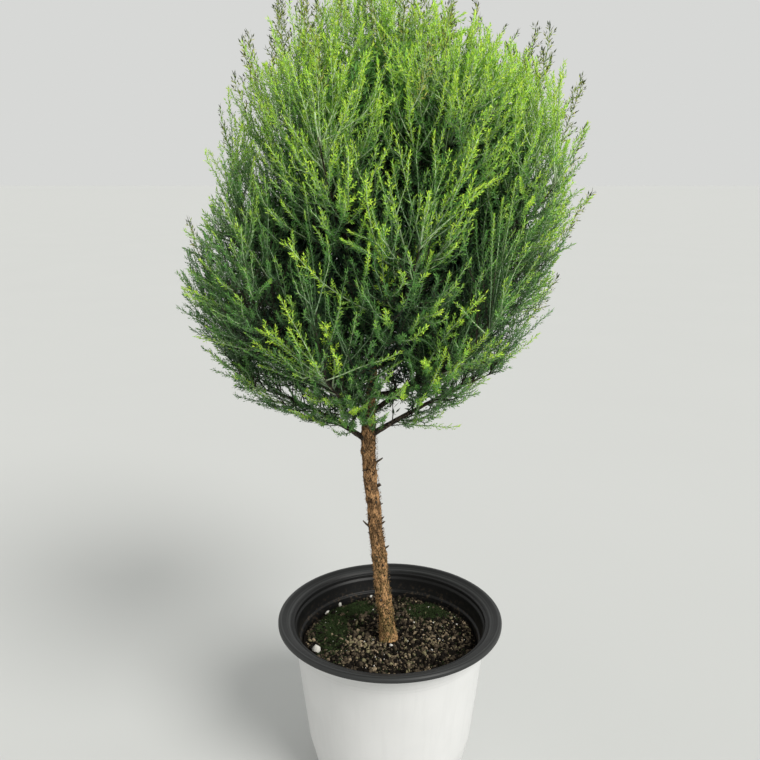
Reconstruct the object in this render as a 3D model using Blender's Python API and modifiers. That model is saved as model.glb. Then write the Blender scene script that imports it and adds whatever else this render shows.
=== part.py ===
"""Lemon cypress trained as a standard, in its round nursery pot.

A bare, slightly leaning stem carries an upright feathery crown. The pot is a white wall with a
black inner wall and rolled rim, and the soil in it sinks a little between the stem and the wall.
Units are metres, +Z is up, and the origin is the middle of the pot's flat underside.

The crown grows by one seeded rule. The envelope is a radius for each height. Boughs leave the
trunk a golden angle apart and aim at points that share the envelope's area evenly. Past the point
where it enters its mass of foliage, each limb goes on as that mass's stem. Twigs leave the stem a
golden angle apart and bend towards the crown's own direction of growth, and each one ends in a
spray: a slim three-sided core whose sides are drawn out into two whorls of side shoots.
"""
import math
from itertools import product

import bmesh
import bpy
import numpy as np
from mathutils import Matrix, Vector

# ---- Pot
POT_HEIGHT = 0.128
RIM_RADIUS = 0.080            # outside of the rim's lip
RIM_INNER_DROP = 0.0075       # the rim slopes down inwards to the inner wall
# Section of the rim, from the inner slope over the top and round the lip: distance in from the
# outside and depth below the top.
RIM_COURSE = (
    (0.0085, 0.0024),
    (0.0035, 0.0),
    (0.0013, 0.0),
    (0.0, 0.0012),
    (0.0, 0.0034),
    (0.0012, 0.0034),
)
LIP_THICKNESS = 0.0016
RIM_SHOULDER = 0.0006         # the rim's underside rests this far past the wall's outside
# Outside of the white wall: depth below the rim and radius.
WALL_COURSE = (
    (0.0040, 0.0700),
    (0.0115, 0.0690),
    (0.0120, 0.0684),
    (0.0900, 0.0595),
    (0.1137, 0.0538),
)
FOOT_TOP_RADIUS = 0.0508
FOOT_RADIUS = 0.0497
WALL_THICKNESS = 0.0013
LINER_THICKNESS = 0.0011
BASE_THICKNESS = 0.0018
LEDGE_DEPTH = 0.0165          # below the rim: the nesting ledge round the inner wall
LEDGE_WIDTH = 0.0014
LEDGE_SLOPE = 0.0009          # height over which the ledge comes in
SLOT_COUNT = 8                # drain slots through the corner of the foot
SLOT_WIDTH = 0.007
SLOT_HEIGHT = 0.0048
SLOT_INNER_RADIUS = 0.041
POT_STEPS = 32                # faces round the pot

# ---- Soil
SOIL_LEVEL = POT_HEIGHT - 0.020
SOIL_HOLLOW = 0.0012          # how far the soil sinks between the stem and the wall
MOUND_RADIUS = 0.012          # level ground round the stem
HOLLOW_RADIUS = 0.034         # where the soil is lowest

# ---- Trunk: height above the soil, offset along X, offset along Y, radius
TRUNK_COURSE = (
    (0.0000, -0.0010, 0.0000, 0.0068),
    (0.0040, -0.0012, 0.0001, 0.0059),
    (0.0140, -0.0026, 0.0004, 0.0053),
    (0.0460, -0.0062, 0.0011, 0.0052),
    (0.0870, -0.0099, 0.0016, 0.0047),
    (0.1300, -0.0139, 0.0008, 0.0048),
    (0.1560, -0.0146, 0.0002, 0.0050),
    (0.1720, -0.0138, 0.0004, 0.0037),
    (0.2150, -0.0108, 0.0016, 0.0028),
    (0.2700, -0.0066, 0.0010, 0.0019),
    (0.3150, -0.0030, 0.0000, 0.0013),
)
TRUNK_STEPS = 2               # spans between two points of the course
FORK_HEIGHT = 0.1500          # above the soil: where the first bough leaves
BOUGH_SPAN = 0.1350           # along the trunk, from the first bough to the last
BOUGH_BIAS = 1.15             # above 1, the boughs leave the trunk closer together low down
# Pruned side shoots on the bare stem: height above the soil, azimuth in degrees, length.
STUBS = (
    (0.030, 250.0, 0.0030),
    (0.048, 70.0, 0.0035),
    (0.068, 10.0, 0.0032),
    (0.083, 195.0, 0.0075),
    (0.087, 340.0, 0.0030),
    (0.104, 290.0, 0.0028),
    (0.118, 150.0, 0.0035),
    (0.133, 15.0, 0.0048),
    (0.141, 235.0, 0.0032),
)
STUB_RADII = (0.0019, 0.0010)
STUB_ROOT = 0.25              # depth of a stub's root, as a share of the stem's radius
STUB_RISE = 0.6               # upward part of a stub's direction

# ---- Crown
# Height above the rim, radius and leaning axis of the envelope, from the fork to the tallest tips.
ENVELOPE = (
    (0.130, 0.004, -0.0146),
    (0.145, 0.037, -0.0150),
    (0.160, 0.066, -0.0165),
    (0.180, 0.091, -0.0180),
    (0.205, 0.111, -0.0185),
    (0.235, 0.123, -0.0170),
    (0.265, 0.125, -0.0095),
    (0.290, 0.123, 0.0000),
    (0.320, 0.119, 0.0050),
    (0.356, 0.116, 0.0070),
    (0.378, 0.102, 0.0060),
    (0.394, 0.073, -0.0020),
    (0.412, 0.050, -0.0110),
    (0.430, 0.022, -0.0160),
)
SOURCE_DEPTH = 0.030          # growth fans out from a point this far under the fork
LIMB_COUNT = 22
LOWEST_SHARE = 0.13           # of the envelope's area, below the first limb's tip
HIGHEST_SHARE = 0.945
GOLDEN_ANGLE = math.radians(137.508)
FIRST_AZIMUTH = math.radians(205.0)
LIMB_LIFT = 0.50              # how early a limb bends up, as a share of its length
LIMB_FLARE = 0.012            # how far a limb swings out from the straight line to its tip
LIMB_ARCH = 0.034             # how far the lowest limb's middle is raised
ARCHED_LIMBS = 6              # limbs from the lowest on that are raised, less and less
TOP_PULL = (0.002, -0.001, 0.0)    # sideways pull of the last limb, which carries the trunk on
BOUGH_RADII = (0.0024, 0.0016)    # at the trunk, for the lowest limb and the highest
BOUGH_TAPER = 0.68            # radius where a bough enters its mass, as a share of its root
STEM_RADIUS = 0.0016
STEM_END_RADIUS = 0.0012
BOUGH_SHARES = (0.12, 0.28)   # of the limb's length, to where it enters its mass, low and high
STEM_REACH = 0.80             # of the limb's length, to where the end spray takes over
SEAT_GAP = 0.0003             # between touching solids
END_SPRAY_OVERLAP = 0.03      # of the limb's length, shared by the stem and the end spray
TWIGS_PER_MASS = 15
TWIG_SPAN = (0.05, 0.98)      # of the stem, from its first twig to its last
TWIG_ANGLE = math.radians(40.0)
TWIG_LIFT = 0.55              # share of the crown's growth direction in a twig's outer half
TURN_SPREAD = 0.3             # random part of a twig's turn round the stem, either way
SPRAY_LENGTH = 0.078
LENGTH_SPREAD = (0.85, 1.15)
TIP_SPREAD = (0.96, 1.03)     # how near the envelope, or past it, a spray's tip may come
SHORTEST_SPRAY = 0.024
SPRAY_CORE = 0.0019
SHOOT_LENGTH = 0.0155         # side shoots of a spray
SHOOT_OUT = 0.72              # parts of a side shoot's length across and along its spray
SHOOT_AHEAD = 0.70
SHOOT_FLOOR = 0.4             # part of the side shoots' length that a short spray keeps
SPRAY_STATIONS = np.array([0.0, 0.17, 0.56, 1.0])
SPRAY_TAPER = np.array([0.6, 0.75, 0.9, 0.1])
SHOOT_SHARES = (1.0, 0.56)    # length of the side shoots in the lower whorl and the upper
SPRAY_TWIST = math.radians(34.0)
END_SPRAY_TURN = math.radians(25.0)
# How far a spray's side shoots stand out, as a share of their length, at places along it.
REACH_PLACES = (0.0, 0.16, 0.34, 0.62, 1.0)
REACH_SHARES = (0.0, 0.05, 1.0, 0.8, 0.0)
# A twig that doesn't fit is turned a little each way and then shortened, and tried again.
TRIAL_TURNS = (0.0, 0.5, -0.5)
TRIAL_SIZES = (1.0, 0.89, 0.78, 0.67, 0.56, 0.45)
SPRAY_SPACING = 0.68          # of two neighbours' reach
SPACE_MARGIN = 0.0006         # to the next mass's space
LIMB_MARGIN = 0.0006          # between foliage and any limb that isn't its own
SEED = 4109

# ---- Colours
WALL_COLOR = (0.78, 0.78, 0.77)
LINER_COLOR = (0.022, 0.024, 0.023)
SOIL_COLOR = (0.030, 0.024, 0.016)
BARK_COLOR = (0.22, 0.115, 0.05)
LOW_LEAF_COLOR = (0.10, 0.23, 0.03)
HIGH_LEAF_COLOR = (0.27, 0.42, 0.06)

PARTS = "potted_conifer"
CUTTERS = "cutters"


# ---- Scene and materials

def clear_scene():
    for obj in list(bpy.data.objects):
        bpy.data.objects.remove(obj, do_unlink=True)


def new_collection(name):
    collection = bpy.data.collections.new(name)
    bpy.context.scene.collection.children.link(collection)
    return collection


def plain_material(name, color, roughness):
    material = bpy.data.materials.new(name)
    material.use_nodes = True
    shader = material.node_tree.nodes["Principled BSDF"]
    shader.inputs["Base Color"].default_value = (*color, 1.0)
    shader.inputs["Roughness"].default_value = roughness
    shader.inputs["Metallic"].default_value = 0.0
    return material


def add_object(name, mesh, collection, material=None):
    obj = bpy.data.objects.new(name, mesh)
    collection.objects.link(obj)
    if material is not None:
        obj.data.materials.append(material)
    return obj


def mark_cutter(obj):
    obj.hide_render = True
    obj.display_type = "WIRE"


def shade(obj, angle=40.0):
    obj.data.shade_smooth()
    obj.data.set_sharp_from_angle(angle=math.radians(angle))


# ---- General shapes

def polyline_mesh(name, points, closed):
    """A line of edges in the XZ plane, for a Screw modifier."""
    mesh = bpy.data.meshes.new(name)
    edges = [(i, i + 1) for i in range(len(points) - 1)]
    if closed:
        edges.append((len(points) - 1, 0))
    mesh.from_pydata([(x, 0.0, z) for x, z in points], edges, [])
    return mesh


def turned(name, profile, collection, material, closed=False):
    """A turned solid: the profile runs down its outer side, from axis to axis or in a loop."""
    obj = add_object(name, polyline_mesh(name, profile, closed), collection, material)
    screw = obj.modifiers.new("Turn", "SCREW")
    screw.steps = POT_STEPS
    screw.render_steps = POT_STEPS
    screw.use_merge_vertices = True
    screw.merge_threshold = 0.00001
    return obj


def apply_modifiers(obj):
    """Put the evaluated mesh in place of the object's own mesh and modifiers."""
    depsgraph = bpy.context.evaluated_depsgraph_get()
    mesh = bpy.data.meshes.new_from_object(obj.evaluated_get(depsgraph))
    obj.modifiers.clear()
    obj.data = mesh


def islands(bm):
    """The groups of faces that hang together."""
    unseen = set(bm.faces)
    while unseen:
        edge = [unseen.pop()]
        found = set(edge)
        while edge:
            face = edge.pop()
            near = {other for side in face.edges for other in side.link_faces} & unseen
            unseen -= near
            found |= near
            edge.extend(near)
        yield found


def keep_outer_body(mesh):
    """Fill the hollows that a union sealed and drop loose scraps: only the longest body stays."""
    bm = bmesh.new()
    bm.from_mesh(mesh)
    groups = sorted(islands(bm), key=len)
    loose = [face for group in groups[:-1] for face in group]
    bmesh.ops.delete(bm, geom=loose, context="FACES")
    bm.to_mesh(mesh)
    bm.free()


def boolean(obj, operation, operand=None, collection=None):
    modifier = obj.modifiers.new(operation.title(), "BOOLEAN")
    modifier.operation = operation
    modifier.solver = "EXACT"
    if collection is not None:
        modifier.operand_type = "COLLECTION"
        modifier.collection = collection
    else:
        modifier.object = operand
    return modifier


def tube(name, points, radii, collection, material, resolution=2):
    """A round limb through the points, with a radius at each, as a closed mesh."""
    curve = bpy.data.curves.new(name, "CURVE")
    curve.dimensions = "3D"
    curve.bevel_depth = 1.0
    curve.bevel_resolution = resolution
    curve.use_fill_caps = True
    spline = curve.splines.new("POLY")
    spline.points.add(len(points) - 1)
    for knot, place, radius in zip(spline.points, points, radii):
        knot.co = (*place, 1.0)
        knot.radius = radius
    guide = add_object(name + "_guide", curve, collection)
    depsgraph = bpy.context.evaluated_depsgraph_get()
    mesh = bpy.data.meshes.new_from_object(guide.evaluated_get(depsgraph))
    matrix = guide.matrix_world.copy()
    bpy.data.objects.remove(guide, do_unlink=True)
    bm = bmesh.new()
    bm.from_mesh(mesh)
    bmesh.ops.remove_doubles(bm, verts=bm.verts, dist=0.00001)
    bmesh.ops.recalc_face_normals(bm, faces=bm.faces)
    bm.to_mesh(mesh)
    bm.free()
    obj = add_object(name, mesh, collection, material)
    obj.matrix_world = matrix
    return obj


# ---- Curves and distances

def unit(vector):
    return vector / np.linalg.norm(vector)


def smooth_course(points, spans):
    """Points on the Catmull-Rom curve through the given rows, `spans` to each interval."""
    rows = np.asarray(points, float)
    padded = np.vstack([2 * rows[0] - rows[1], rows, 2 * rows[-1] - rows[-2]])
    course = []
    for i in range(len(rows) - 1):
        before, start, end, after = padded[i:i + 4]
        for t in np.arange(spans) / spans:
            course.append(0.5 * (2 * start + (end - before) * t
                                 + (2 * before - 5 * start + 4 * end - after) * t ** 2
                                 + (3 * start - before - 3 * end + after) * t ** 3))
    course.append(rows[-1])
    return np.array(course)


def bend(start, middle, end, t):
    """A point on the quadratic curve from start to end, pulled towards middle."""
    t = np.asarray(t, float)[..., None]
    return (1 - t) ** 2 * start + 2 * t * (1 - t) * middle + t ** 2 * end


def distance_to_segments(points, starts, ends):
    """Distance from each point to the nearest of the segments, and which segment that is."""
    along = ends - starts
    length2 = np.maximum((along ** 2).sum(1), 1e-18)
    offset = points[:, None, :] - starts[None]
    t = np.clip((offset * along[None]).sum(2) / length2, 0.0, 1.0)
    gap = np.linalg.norm(offset - t[..., None] * along[None], axis=2)
    nearest = gap.argmin(1)
    return gap[np.arange(len(points)), nearest], nearest


# ---- Growth rule

def trunk_course():
    """Places and radii along the trunk, from the soil to its tip."""
    course = smooth_course(TRUNK_COURSE, TRUNK_STEPS)
    places = np.column_stack([course[:, 1], course[:, 2], course[:, 0] + SOIL_LEVEL + SEAT_GAP])
    places[0, :2] = places[1, :2] = course[0, 1:3]
    return places, course[:, 3]


def trunk_at(height, places, radii):
    """Place and radius of the trunk at a height above the soil."""
    z = SOIL_LEVEL + height
    x = np.interp(z, places[:, 2], places[:, 0])
    y = np.interp(z, places[:, 2], places[:, 1])
    return np.array([x, y, z]), float(np.interp(z, places[:, 2], radii))


def envelope_radius(z):
    heights, widths, _ = np.array(ENVELOPE).T
    return np.interp(z - POT_HEIGHT, heights, widths, left=0.0, right=0.0)


def envelope_axis(z):
    heights, _, axis = np.array(ENVELOPE).T
    return np.interp(z - POT_HEIGHT, heights, axis)


def inside_envelope(points, scale):
    points = np.atleast_2d(points)
    reach = np.hypot(points[:, 0] - envelope_axis(points[:, 2]), points[:, 1])
    return reach <= scale * envelope_radius(points[:, 2])


def growth_direction(place, source):
    return unit(place - source)


def envelope_targets(count):
    """Points on the envelope that share its area evenly, a golden angle apart, foot to top."""
    heights = POT_HEIGHT + np.linspace(ENVELOPE[0][0], ENVELOPE[-1][0], 200)
    widths = envelope_radius(heights)
    slant = np.hypot(np.diff(heights), np.diff(widths))
    area = np.concatenate([[0.0], np.cumsum(slant * (widths[1:] + widths[:-1]) / 2)])
    shares = np.linspace(LOWEST_SHARE, HIGHEST_SHARE, count)
    levels = np.interp(shares * area[-1], area, heights)
    turns = FIRST_AZIMUTH + GOLDEN_ANGLE * np.arange(count)
    reach = envelope_radius(levels)
    return np.column_stack([envelope_axis(levels) + reach * np.cos(turns),
                            reach * np.sin(turns), levels])


def bough_radius(number):
    return float(np.interp(number, [0, LIMB_COUNT - 1], BOUGH_RADII))


def bough_share(number):
    """Where a limb enters its mass; the trunk's own tip carries the last mass."""
    if number == LIMB_COUNT:
        return 0.0
    return float(np.interp(number, [0, LIMB_COUNT - 1], BOUGH_SHARES))


def limb_courses(places, radii):
    """For each limb, its start on the trunk, its pull and its end, as a quadratic curve."""
    source = trunk_at(FORK_HEIGHT - SOURCE_DEPTH, places, radii)[0]
    limbs = []
    for number, target in enumerate(envelope_targets(LIMB_COUNT)):
        height = FORK_HEIGHT + BOUGH_SPAN * (number / (LIMB_COUNT - 1)) ** BOUGH_BIAS
        start = trunk_at(height, places, radii)[0]
        straight = target - start
        lift = growth_direction(target, source)
        outward = unit(straight * [1.0, 1.0, 0.0])
        middle = target - lift * np.linalg.norm(straight) * LIMB_LIFT + outward * LIMB_FLARE
        middle[2] += LIMB_ARCH * max(0.0, 1.0 - number / ARCHED_LIMBS)
        limbs.append((start, middle, target))
    tip = places[-1]
    crown_top = POT_HEIGHT + ENVELOPE[-1][0]
    top = np.array([envelope_axis(crown_top), 0.0, crown_top])
    limbs.append((tip, (tip + top) / 2 + TOP_PULL, top))
    return limbs, source


def stem_course(limb, number):
    """The mass's own stem: the stretch of its limb from the bough's end to the end spray."""
    return bend(*limb, np.linspace(bough_share(number), STEM_REACH, 5))


def side_direction(direction, turn, angle):
    """A direction at `angle` from the given one, turned about it."""
    upright = abs(direction[2]) > 0.9
    across = unit(np.cross(direction, [1.0, 0.0, 0.0] if upright else [0.0, 0.0, 1.0]))
    other = np.cross(direction, across)
    side = math.cos(turn) * across + math.sin(turn) * other
    return math.cos(angle) * direction + math.sin(angle) * side


# ---- Foliage shapes

def ring_matrix(place, direction, twist):
    facing = Vector(direction).to_track_quat("Z", "Y").to_matrix().to_4x4()
    return Matrix.Translation(Vector(place)) @ facing @ Matrix.Rotation(twist, 4, "Z")


def swept_core(bm, course, radii, twist=0.0, turn=0.0):
    """A three-sided core drawn along the course; returns the rows of side faces, root to tip."""
    course = np.asarray(course, float)
    tangents = np.gradient(course, axis=0)
    ring = bmesh.ops.create_circle(bm, cap_ends=True, segments=3, radius=1.0,
                                   matrix=Matrix.Identity(4))["verts"]
    outline = [vert.co.copy() for vert in ring]
    rows = []
    edges = [edge for edge in bm.edges if edge.verts[0] in ring and edge.verts[1] in ring]
    for level, (place, tangent, radius) in enumerate(zip(course, tangents, radii)):
        matrix = ring_matrix(place, tangent, turn + twist * level)
        if level:
            made = bmesh.ops.extrude_edge_only(bm, edges=edges)["geom"]
            new = [item for item in made if isinstance(item, bmesh.types.BMVert)]
            edges = [item for item in made if isinstance(item, bmesh.types.BMEdge)
                     and all(vert in new for vert in item.verts)]
            rows.append([item for item in made if isinstance(item, bmesh.types.BMFace)])
            ring = [next(vert for vert in new
                         if any(edge.other_vert(vert) is old for edge in vert.link_edges))
                    for old in ring]
        for vert, corner in zip(ring, outline):
            vert.co = matrix @ (corner * radius)
    bmesh.ops.contextual_create(bm, geom=edges)
    return rows


def face_middle(face):
    return sum((vert.co for vert in face.verts), Vector()) / len(face.verts)


def spray_mesh(name, course, reach, turn=0.0):
    """A spray on its bare twig: a slim core whose side faces are drawn out into side shoots."""
    bm = bmesh.new()
    course = np.asarray(course, float)
    rows = swept_core(bm, course, SPRAY_CORE * SPRAY_TAPER, SPRAY_TWIST, turn)
    tip = [vert for vert in bm.verts if (vert.co - Vector(course[-1])).length < SPRAY_CORE]
    bmesh.ops.pointmerge(bm, verts=tip, merge_co=Vector(course[-1]))
    middles = (course[1:] + course[:-1]) / 2
    for row, middle, forward, share in zip(rows[1:], middles[1:], np.diff(course, axis=0)[1:],
                                           SHOOT_SHARES):
        faces = [face for face in row if face.is_valid]
        ahead = Vector(unit(forward))
        for face in faces:
            outward = face_middle(face) - Vector(middle)
            outward = (outward - outward.dot(ahead) * ahead).normalized()
            knot = bmesh.ops.poke(bm, faces=[face])["verts"][0]
            knot.co += reach * share * (SHOOT_OUT * outward + SHOOT_AHEAD * ahead)
    bmesh.ops.recalc_face_normals(bm, faces=bm.faces)
    mesh = bpy.data.meshes.new(name)
    bm.to_mesh(mesh)
    bm.free()
    return mesh


def stem_mesh(name, course, radii):
    bm = bmesh.new()
    swept_core(bm, course, radii)
    bmesh.ops.recalc_face_normals(bm, faces=bm.faces)
    mesh = bpy.data.meshes.new(name)
    bm.to_mesh(mesh)
    bm.free()
    return mesh


class Crown:
    """The limbs, the spaces of the masses and the tests that keep each mass in its own."""

    def __init__(self):
        self.places, self.radii = trunk_course()
        self.limbs, self.source = limb_courses(self.places, self.radii)
        wood_starts = [self.places[:-1]]
        wood_ends = [self.places[1:]]
        wood_radii = [self.radii[:-1]]
        space_starts, space_ends, owners = [], [], []
        for number, limb in enumerate(self.limbs):
            if number < LIMB_COUNT:
                bough = bend(*limb, np.linspace(0.0, bough_share(number), 6))
                wood_starts.append(bough[:-1])
                wood_ends.append(bough[1:])
                wood_radii.append(np.full(len(bough) - 1, bough_radius(number)))
            line = bend(*limb, np.linspace(bough_share(number), 1.0, 7))
            space_starts.append(line[:-1])
            space_ends.append(line[1:])
            owners.append(np.full(len(line) - 1, number))
        self.wood = np.vstack(wood_starts), np.vstack(wood_ends), np.concatenate(wood_radii)
        self.spaces = np.vstack(space_starts), np.vstack(space_ends), np.concatenate(owners)

    def in_own_space(self, points, number):
        starts, ends, owners = self.spaces
        own = owners == number
        own_gap, _ = distance_to_segments(points, starts[own], ends[own])
        other_gap, _ = distance_to_segments(points, starts[~own], ends[~own])
        return bool((other_gap - own_gap > SPACE_MARGIN).all())

    def clear_of_wood(self, points, reaches):
        starts, ends, radii = self.wood
        along = ends - starts
        offset = points[:, None, :] - starts[None]
        t = np.clip((offset * along[None]).sum(2) / (along ** 2).sum(1), 0.0, 1.0)
        gap = np.linalg.norm(offset - t[..., None] * along[None], axis=2)
        return bool((gap - radii[None] - reaches[:, None] > LIMB_MARGIN).all())


def reach_profile(t):
    """How far a spray's side shoots stand out along its length, as a share of their length."""
    return np.interp(t, REACH_PLACES, REACH_SHARES)


def apart(line, reaches, placed):
    """Whether a spray keeps clear of the side shoots of those already on its stem."""
    for other, others in placed:
        gap = np.linalg.norm(line[3:, None, :] - other[None, 3:, :], axis=2)
        if (gap < SPRAY_SPACING * (reaches[3:, None] + others[None, 3:])).any():
            return False
    return True


def spray_line(course, reach):
    """Points along a spray's curve, and how far its side shoots stand out at each."""
    t = np.linspace(0.0, 1.0, 11)
    return bend(*course, t), SPRAY_CORE + reach * SHOOT_OUT * reach_profile(t)


def spray_fits(crown, number, line, reaches, scale):
    tangent = unit(line[-1] - line[0])
    turns = np.linspace(0.0, 2 * math.pi, 8, endpoint=False)
    sides = np.array([side_direction(tangent, turn, math.pi / 2) for turn in turns])
    skin = (line[:, None, :] + reaches[:, None, None] * sides[None]).reshape(-1, 3)
    if not inside_envelope(line[-1], scale).all():
        return False
    return crown.in_own_space(skin, number) and crown.clear_of_wood(line[1:], reaches[1:])


def grow_twigs(crown, number):
    """The twigs of one mass, each as the three points of its curve and its side shoots' length."""
    rng = np.random.default_rng(SEED + number)
    limb = crown.limbs[number]
    end_spray = bend(*limb, [STEM_REACH - END_SPRAY_OVERLAP, (STEM_REACH + 1.0) / 2, 1.0])
    twigs = [(tuple(end_spray), SHOOT_LENGTH)]
    placed = [spray_line(*twigs[0])]
    root = bough_share(number)
    stations = root + (STEM_REACH - root) * np.linspace(*TWIG_SPAN, TWIGS_PER_MASS)
    for k, t in enumerate(stations):
        place = bend(*limb, t)
        ahead = unit(bend(*limb, t + 0.02) - place)
        turn = GOLDEN_ANGLE * k + rng.uniform(-TURN_SPREAD, TURN_SPREAD) + number
        length = SPRAY_LENGTH * rng.uniform(*LENGTH_SPREAD)
        scale = rng.uniform(*TIP_SPREAD)
        for shrink, trial_turn in product(TRIAL_SIZES, TRIAL_TURNS):
            size = length * shrink
            if size < SHORTEST_SPRAY:
                break
            side = side_direction(ahead, turn + trial_turn, TWIG_ANGLE)
            middle = place + side * size / 2
            lift = growth_direction(middle, crown.source)
            end = middle + unit((1 - TWIG_LIFT) * side + TWIG_LIFT * lift) * size / 2
            reach = SHOOT_LENGTH * (SHOOT_FLOOR + (1 - SHOOT_FLOOR) * size / SPRAY_LENGTH)
            line, reaches = spray_line((place, middle, end), reach)
            if apart(line, reaches, placed) and spray_fits(crown, number, line, reaches, scale):
                twigs.append(((place, middle, end), reach))
                placed.append((line, reaches))
                break
    return twigs


def build_mass(crown, number, collection, material):
    """One mass: its stem with every twig and spray fused on, as a single closed solid."""
    name = f"foliage_{number + 1:02d}"
    limb = crown.limbs[number]
    stem = stem_course(limb, number)
    stem[0] += SEAT_GAP * unit(stem[1] - stem[0])
    radii = np.linspace(STEM_RADIUS, STEM_END_RADIUS, len(stem))
    mass = add_object(name, stem_mesh(name, stem, radii), collection, material)
    pieces = new_collection(name + "_pieces")
    for k, (course, reach) in enumerate(grow_twigs(crown, number)):
        line = bend(*course, SPRAY_STATIONS)
        turn = k + END_SPRAY_TURN
        add_object(f"{name}_spray_{k}", spray_mesh(f"{name}_spray_{k}", line, reach, turn), pieces)
    boolean(mass, "UNION", collection=pieces)
    apply_modifiers(mass)
    keep_outer_body(mass.data)
    for piece in list(pieces.objects):
        bpy.data.objects.remove(piece, do_unlink=True)
    bpy.data.collections.remove(pieces)
    return mass


# ---- Pot and soil

def wall_radius(depth):
    depths, radii = np.array(WALL_COURSE).T
    return float(np.interp(depth, depths, radii))


def build_drain_slots(cutters):
    """The cutter of the drain slots: a ring of boxes across the corner of the foot."""
    length = RIM_RADIUS - SLOT_INNER_RADIUS
    outwards = Matrix.Translation((SLOT_INNER_RADIUS + length / 2, 0.0, 0.0))
    size = Matrix.Diagonal((length, SLOT_WIDTH, 2 * SLOT_HEIGHT, 1.0))
    bm = bmesh.new()
    for number in range(SLOT_COUNT):
        turn = Matrix.Rotation(2 * math.pi * (number + 0.5) / SLOT_COUNT, 4, "Z")
        bmesh.ops.create_cube(bm, size=1.0, matrix=turn @ outwards @ size)
    mesh = bpy.data.meshes.new("drain_slots")
    bm.to_mesh(mesh)
    bm.free()
    slots = add_object("drain_slots", mesh, cutters)
    mark_cutter(slots)
    return slots


def build_pot_wall(collection, cutters, material):
    """The white wall: a cup with a stepped foot, a raised band under the rim and drain slots."""
    step = POT_HEIGHT - WALL_COURSE[-1][0]
    foot_inner = FOOT_RADIUS - WALL_THICKNESS
    outer = [(radius, POT_HEIGHT - depth) for depth, radius in WALL_COURSE]
    floor = [(0.0, BASE_THICKNESS), (foot_inner, BASE_THICKNESS),
             (foot_inner, step + WALL_THICKNESS)]
    inner = [(outer[-1][0] - WALL_THICKNESS, step + WALL_THICKNESS)]
    inner += [(radius - WALL_THICKNESS, z) for radius, z in (outer[-2], outer[0])]
    foot = [(FOOT_TOP_RADIUS, step), (FOOT_RADIUS, 0.0), (0.0, 0.0)]
    wall = turned("pot_wall", floor + inner + outer + foot, collection, material)
    boolean(wall, "DIFFERENCE", operand=build_drain_slots(cutters))
    shade(wall)
    return wall


def liner_outer_radius(depth):
    return wall_radius(depth) - WALL_THICKNESS - SEAT_GAP


def liner_inner_radius(depth):
    ledge = LEDGE_WIDTH if depth > LEDGE_DEPTH else 0.0
    return liner_outer_radius(depth) - LINER_THICKNESS - ledge


def build_pot_liner(collection, material):
    """The black inner wall, which stands on the step of the foot, and the rim it turns out into."""
    foot_depth = WALL_COURSE[-1][0] - WALL_THICKNESS - SEAT_GAP
    waist_depth = WALL_COURSE[-2][0]
    under_rim = WALL_COURSE[0][0] - SEAT_GAP
    depths = [foot_depth, waist_depth, LEDGE_DEPTH + LEDGE_SLOPE, LEDGE_DEPTH, RIM_INNER_DROP]
    inner = [(liner_inner_radius(depth), POT_HEIGHT - depth) for depth in depths]
    rim = [(RIM_RADIUS - inset, POT_HEIGHT - depth) for inset, depth in RIM_COURSE]
    rim.append((RIM_RADIUS - LIP_THICKNESS, POT_HEIGHT - under_rim + LINER_THICKNESS))
    top_depth, top_radius = WALL_COURSE[0]
    under = [(top_radius + RIM_SHOULDER, POT_HEIGHT - under_rim),
             (liner_outer_radius(top_depth), POT_HEIGHT - under_rim)]
    outer = [(liner_outer_radius(depth), POT_HEIGHT - depth) for depth in (waist_depth, foot_depth)]
    liner = turned("pot_liner", inner + rim + under + outer, collection, material, closed=True)
    shade(liner)
    return liner


def build_soil(collection, material):
    """The soil that fills the pot, down to its floor."""
    floor = BASE_THICKNESS + SEAT_GAP
    step = POT_HEIGHT - WALL_COURSE[-1][0] + WALL_THICKNESS
    level_depth = POT_HEIGHT - SOIL_LEVEL
    waist_depth = WALL_COURSE[-2][0]
    foot_depth = WALL_COURSE[-1][0] - WALL_THICKNESS
    foot_radius = FOOT_RADIUS - WALL_THICKNESS - SEAT_GAP
    profile = [(0.0, SOIL_LEVEL), (MOUND_RADIUS, SOIL_LEVEL),
               (HOLLOW_RADIUS, SOIL_LEVEL - SOIL_HOLLOW)]
    profile += [(liner_inner_radius(depth) - SEAT_GAP, POT_HEIGHT - depth)
                for depth in (level_depth, waist_depth, foot_depth)]
    profile += [(foot_radius, step), (foot_radius, floor), (0.0, floor)]
    soil = turned("soil", profile, collection, material)
    shade(soil)
    return soil


# ---- Wood

def build_trunk(crown, collection, material):
    """The stem and its leader, from a flat cut on the soil to the tip, with pruned stubs."""
    trunk = tube("trunk", crown.places, crown.radii, collection, material, resolution=2)
    stubs = new_collection("stub_pieces")
    for number, (height, azimuth, length) in enumerate(STUBS):
        place, radius = trunk_at(height, crown.places, crown.radii)
        turn = math.radians(azimuth)
        ahead = unit(np.array([math.cos(turn), math.sin(turn), STUB_RISE]))
        root = STUB_ROOT * radius
        tip = radius + length
        bm = bmesh.new()
        bmesh.ops.create_cone(bm, cap_ends=True, segments=5, radius1=STUB_RADII[0],
                              radius2=STUB_RADII[1], depth=tip - root,
                              matrix=ring_matrix(place + ahead * (root + tip) / 2, ahead, 0.0))
        mesh = bpy.data.meshes.new(f"stub_{number}")
        bm.to_mesh(mesh)
        bm.free()
        add_object(f"stub_{number}", mesh, stubs)
    boolean(trunk, "UNION", collection=stubs)
    apply_modifiers(trunk)
    for piece in list(stubs.objects):
        bpy.data.objects.remove(piece, do_unlink=True)
    bpy.data.collections.remove(stubs)
    shade(trunk)
    return trunk


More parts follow.
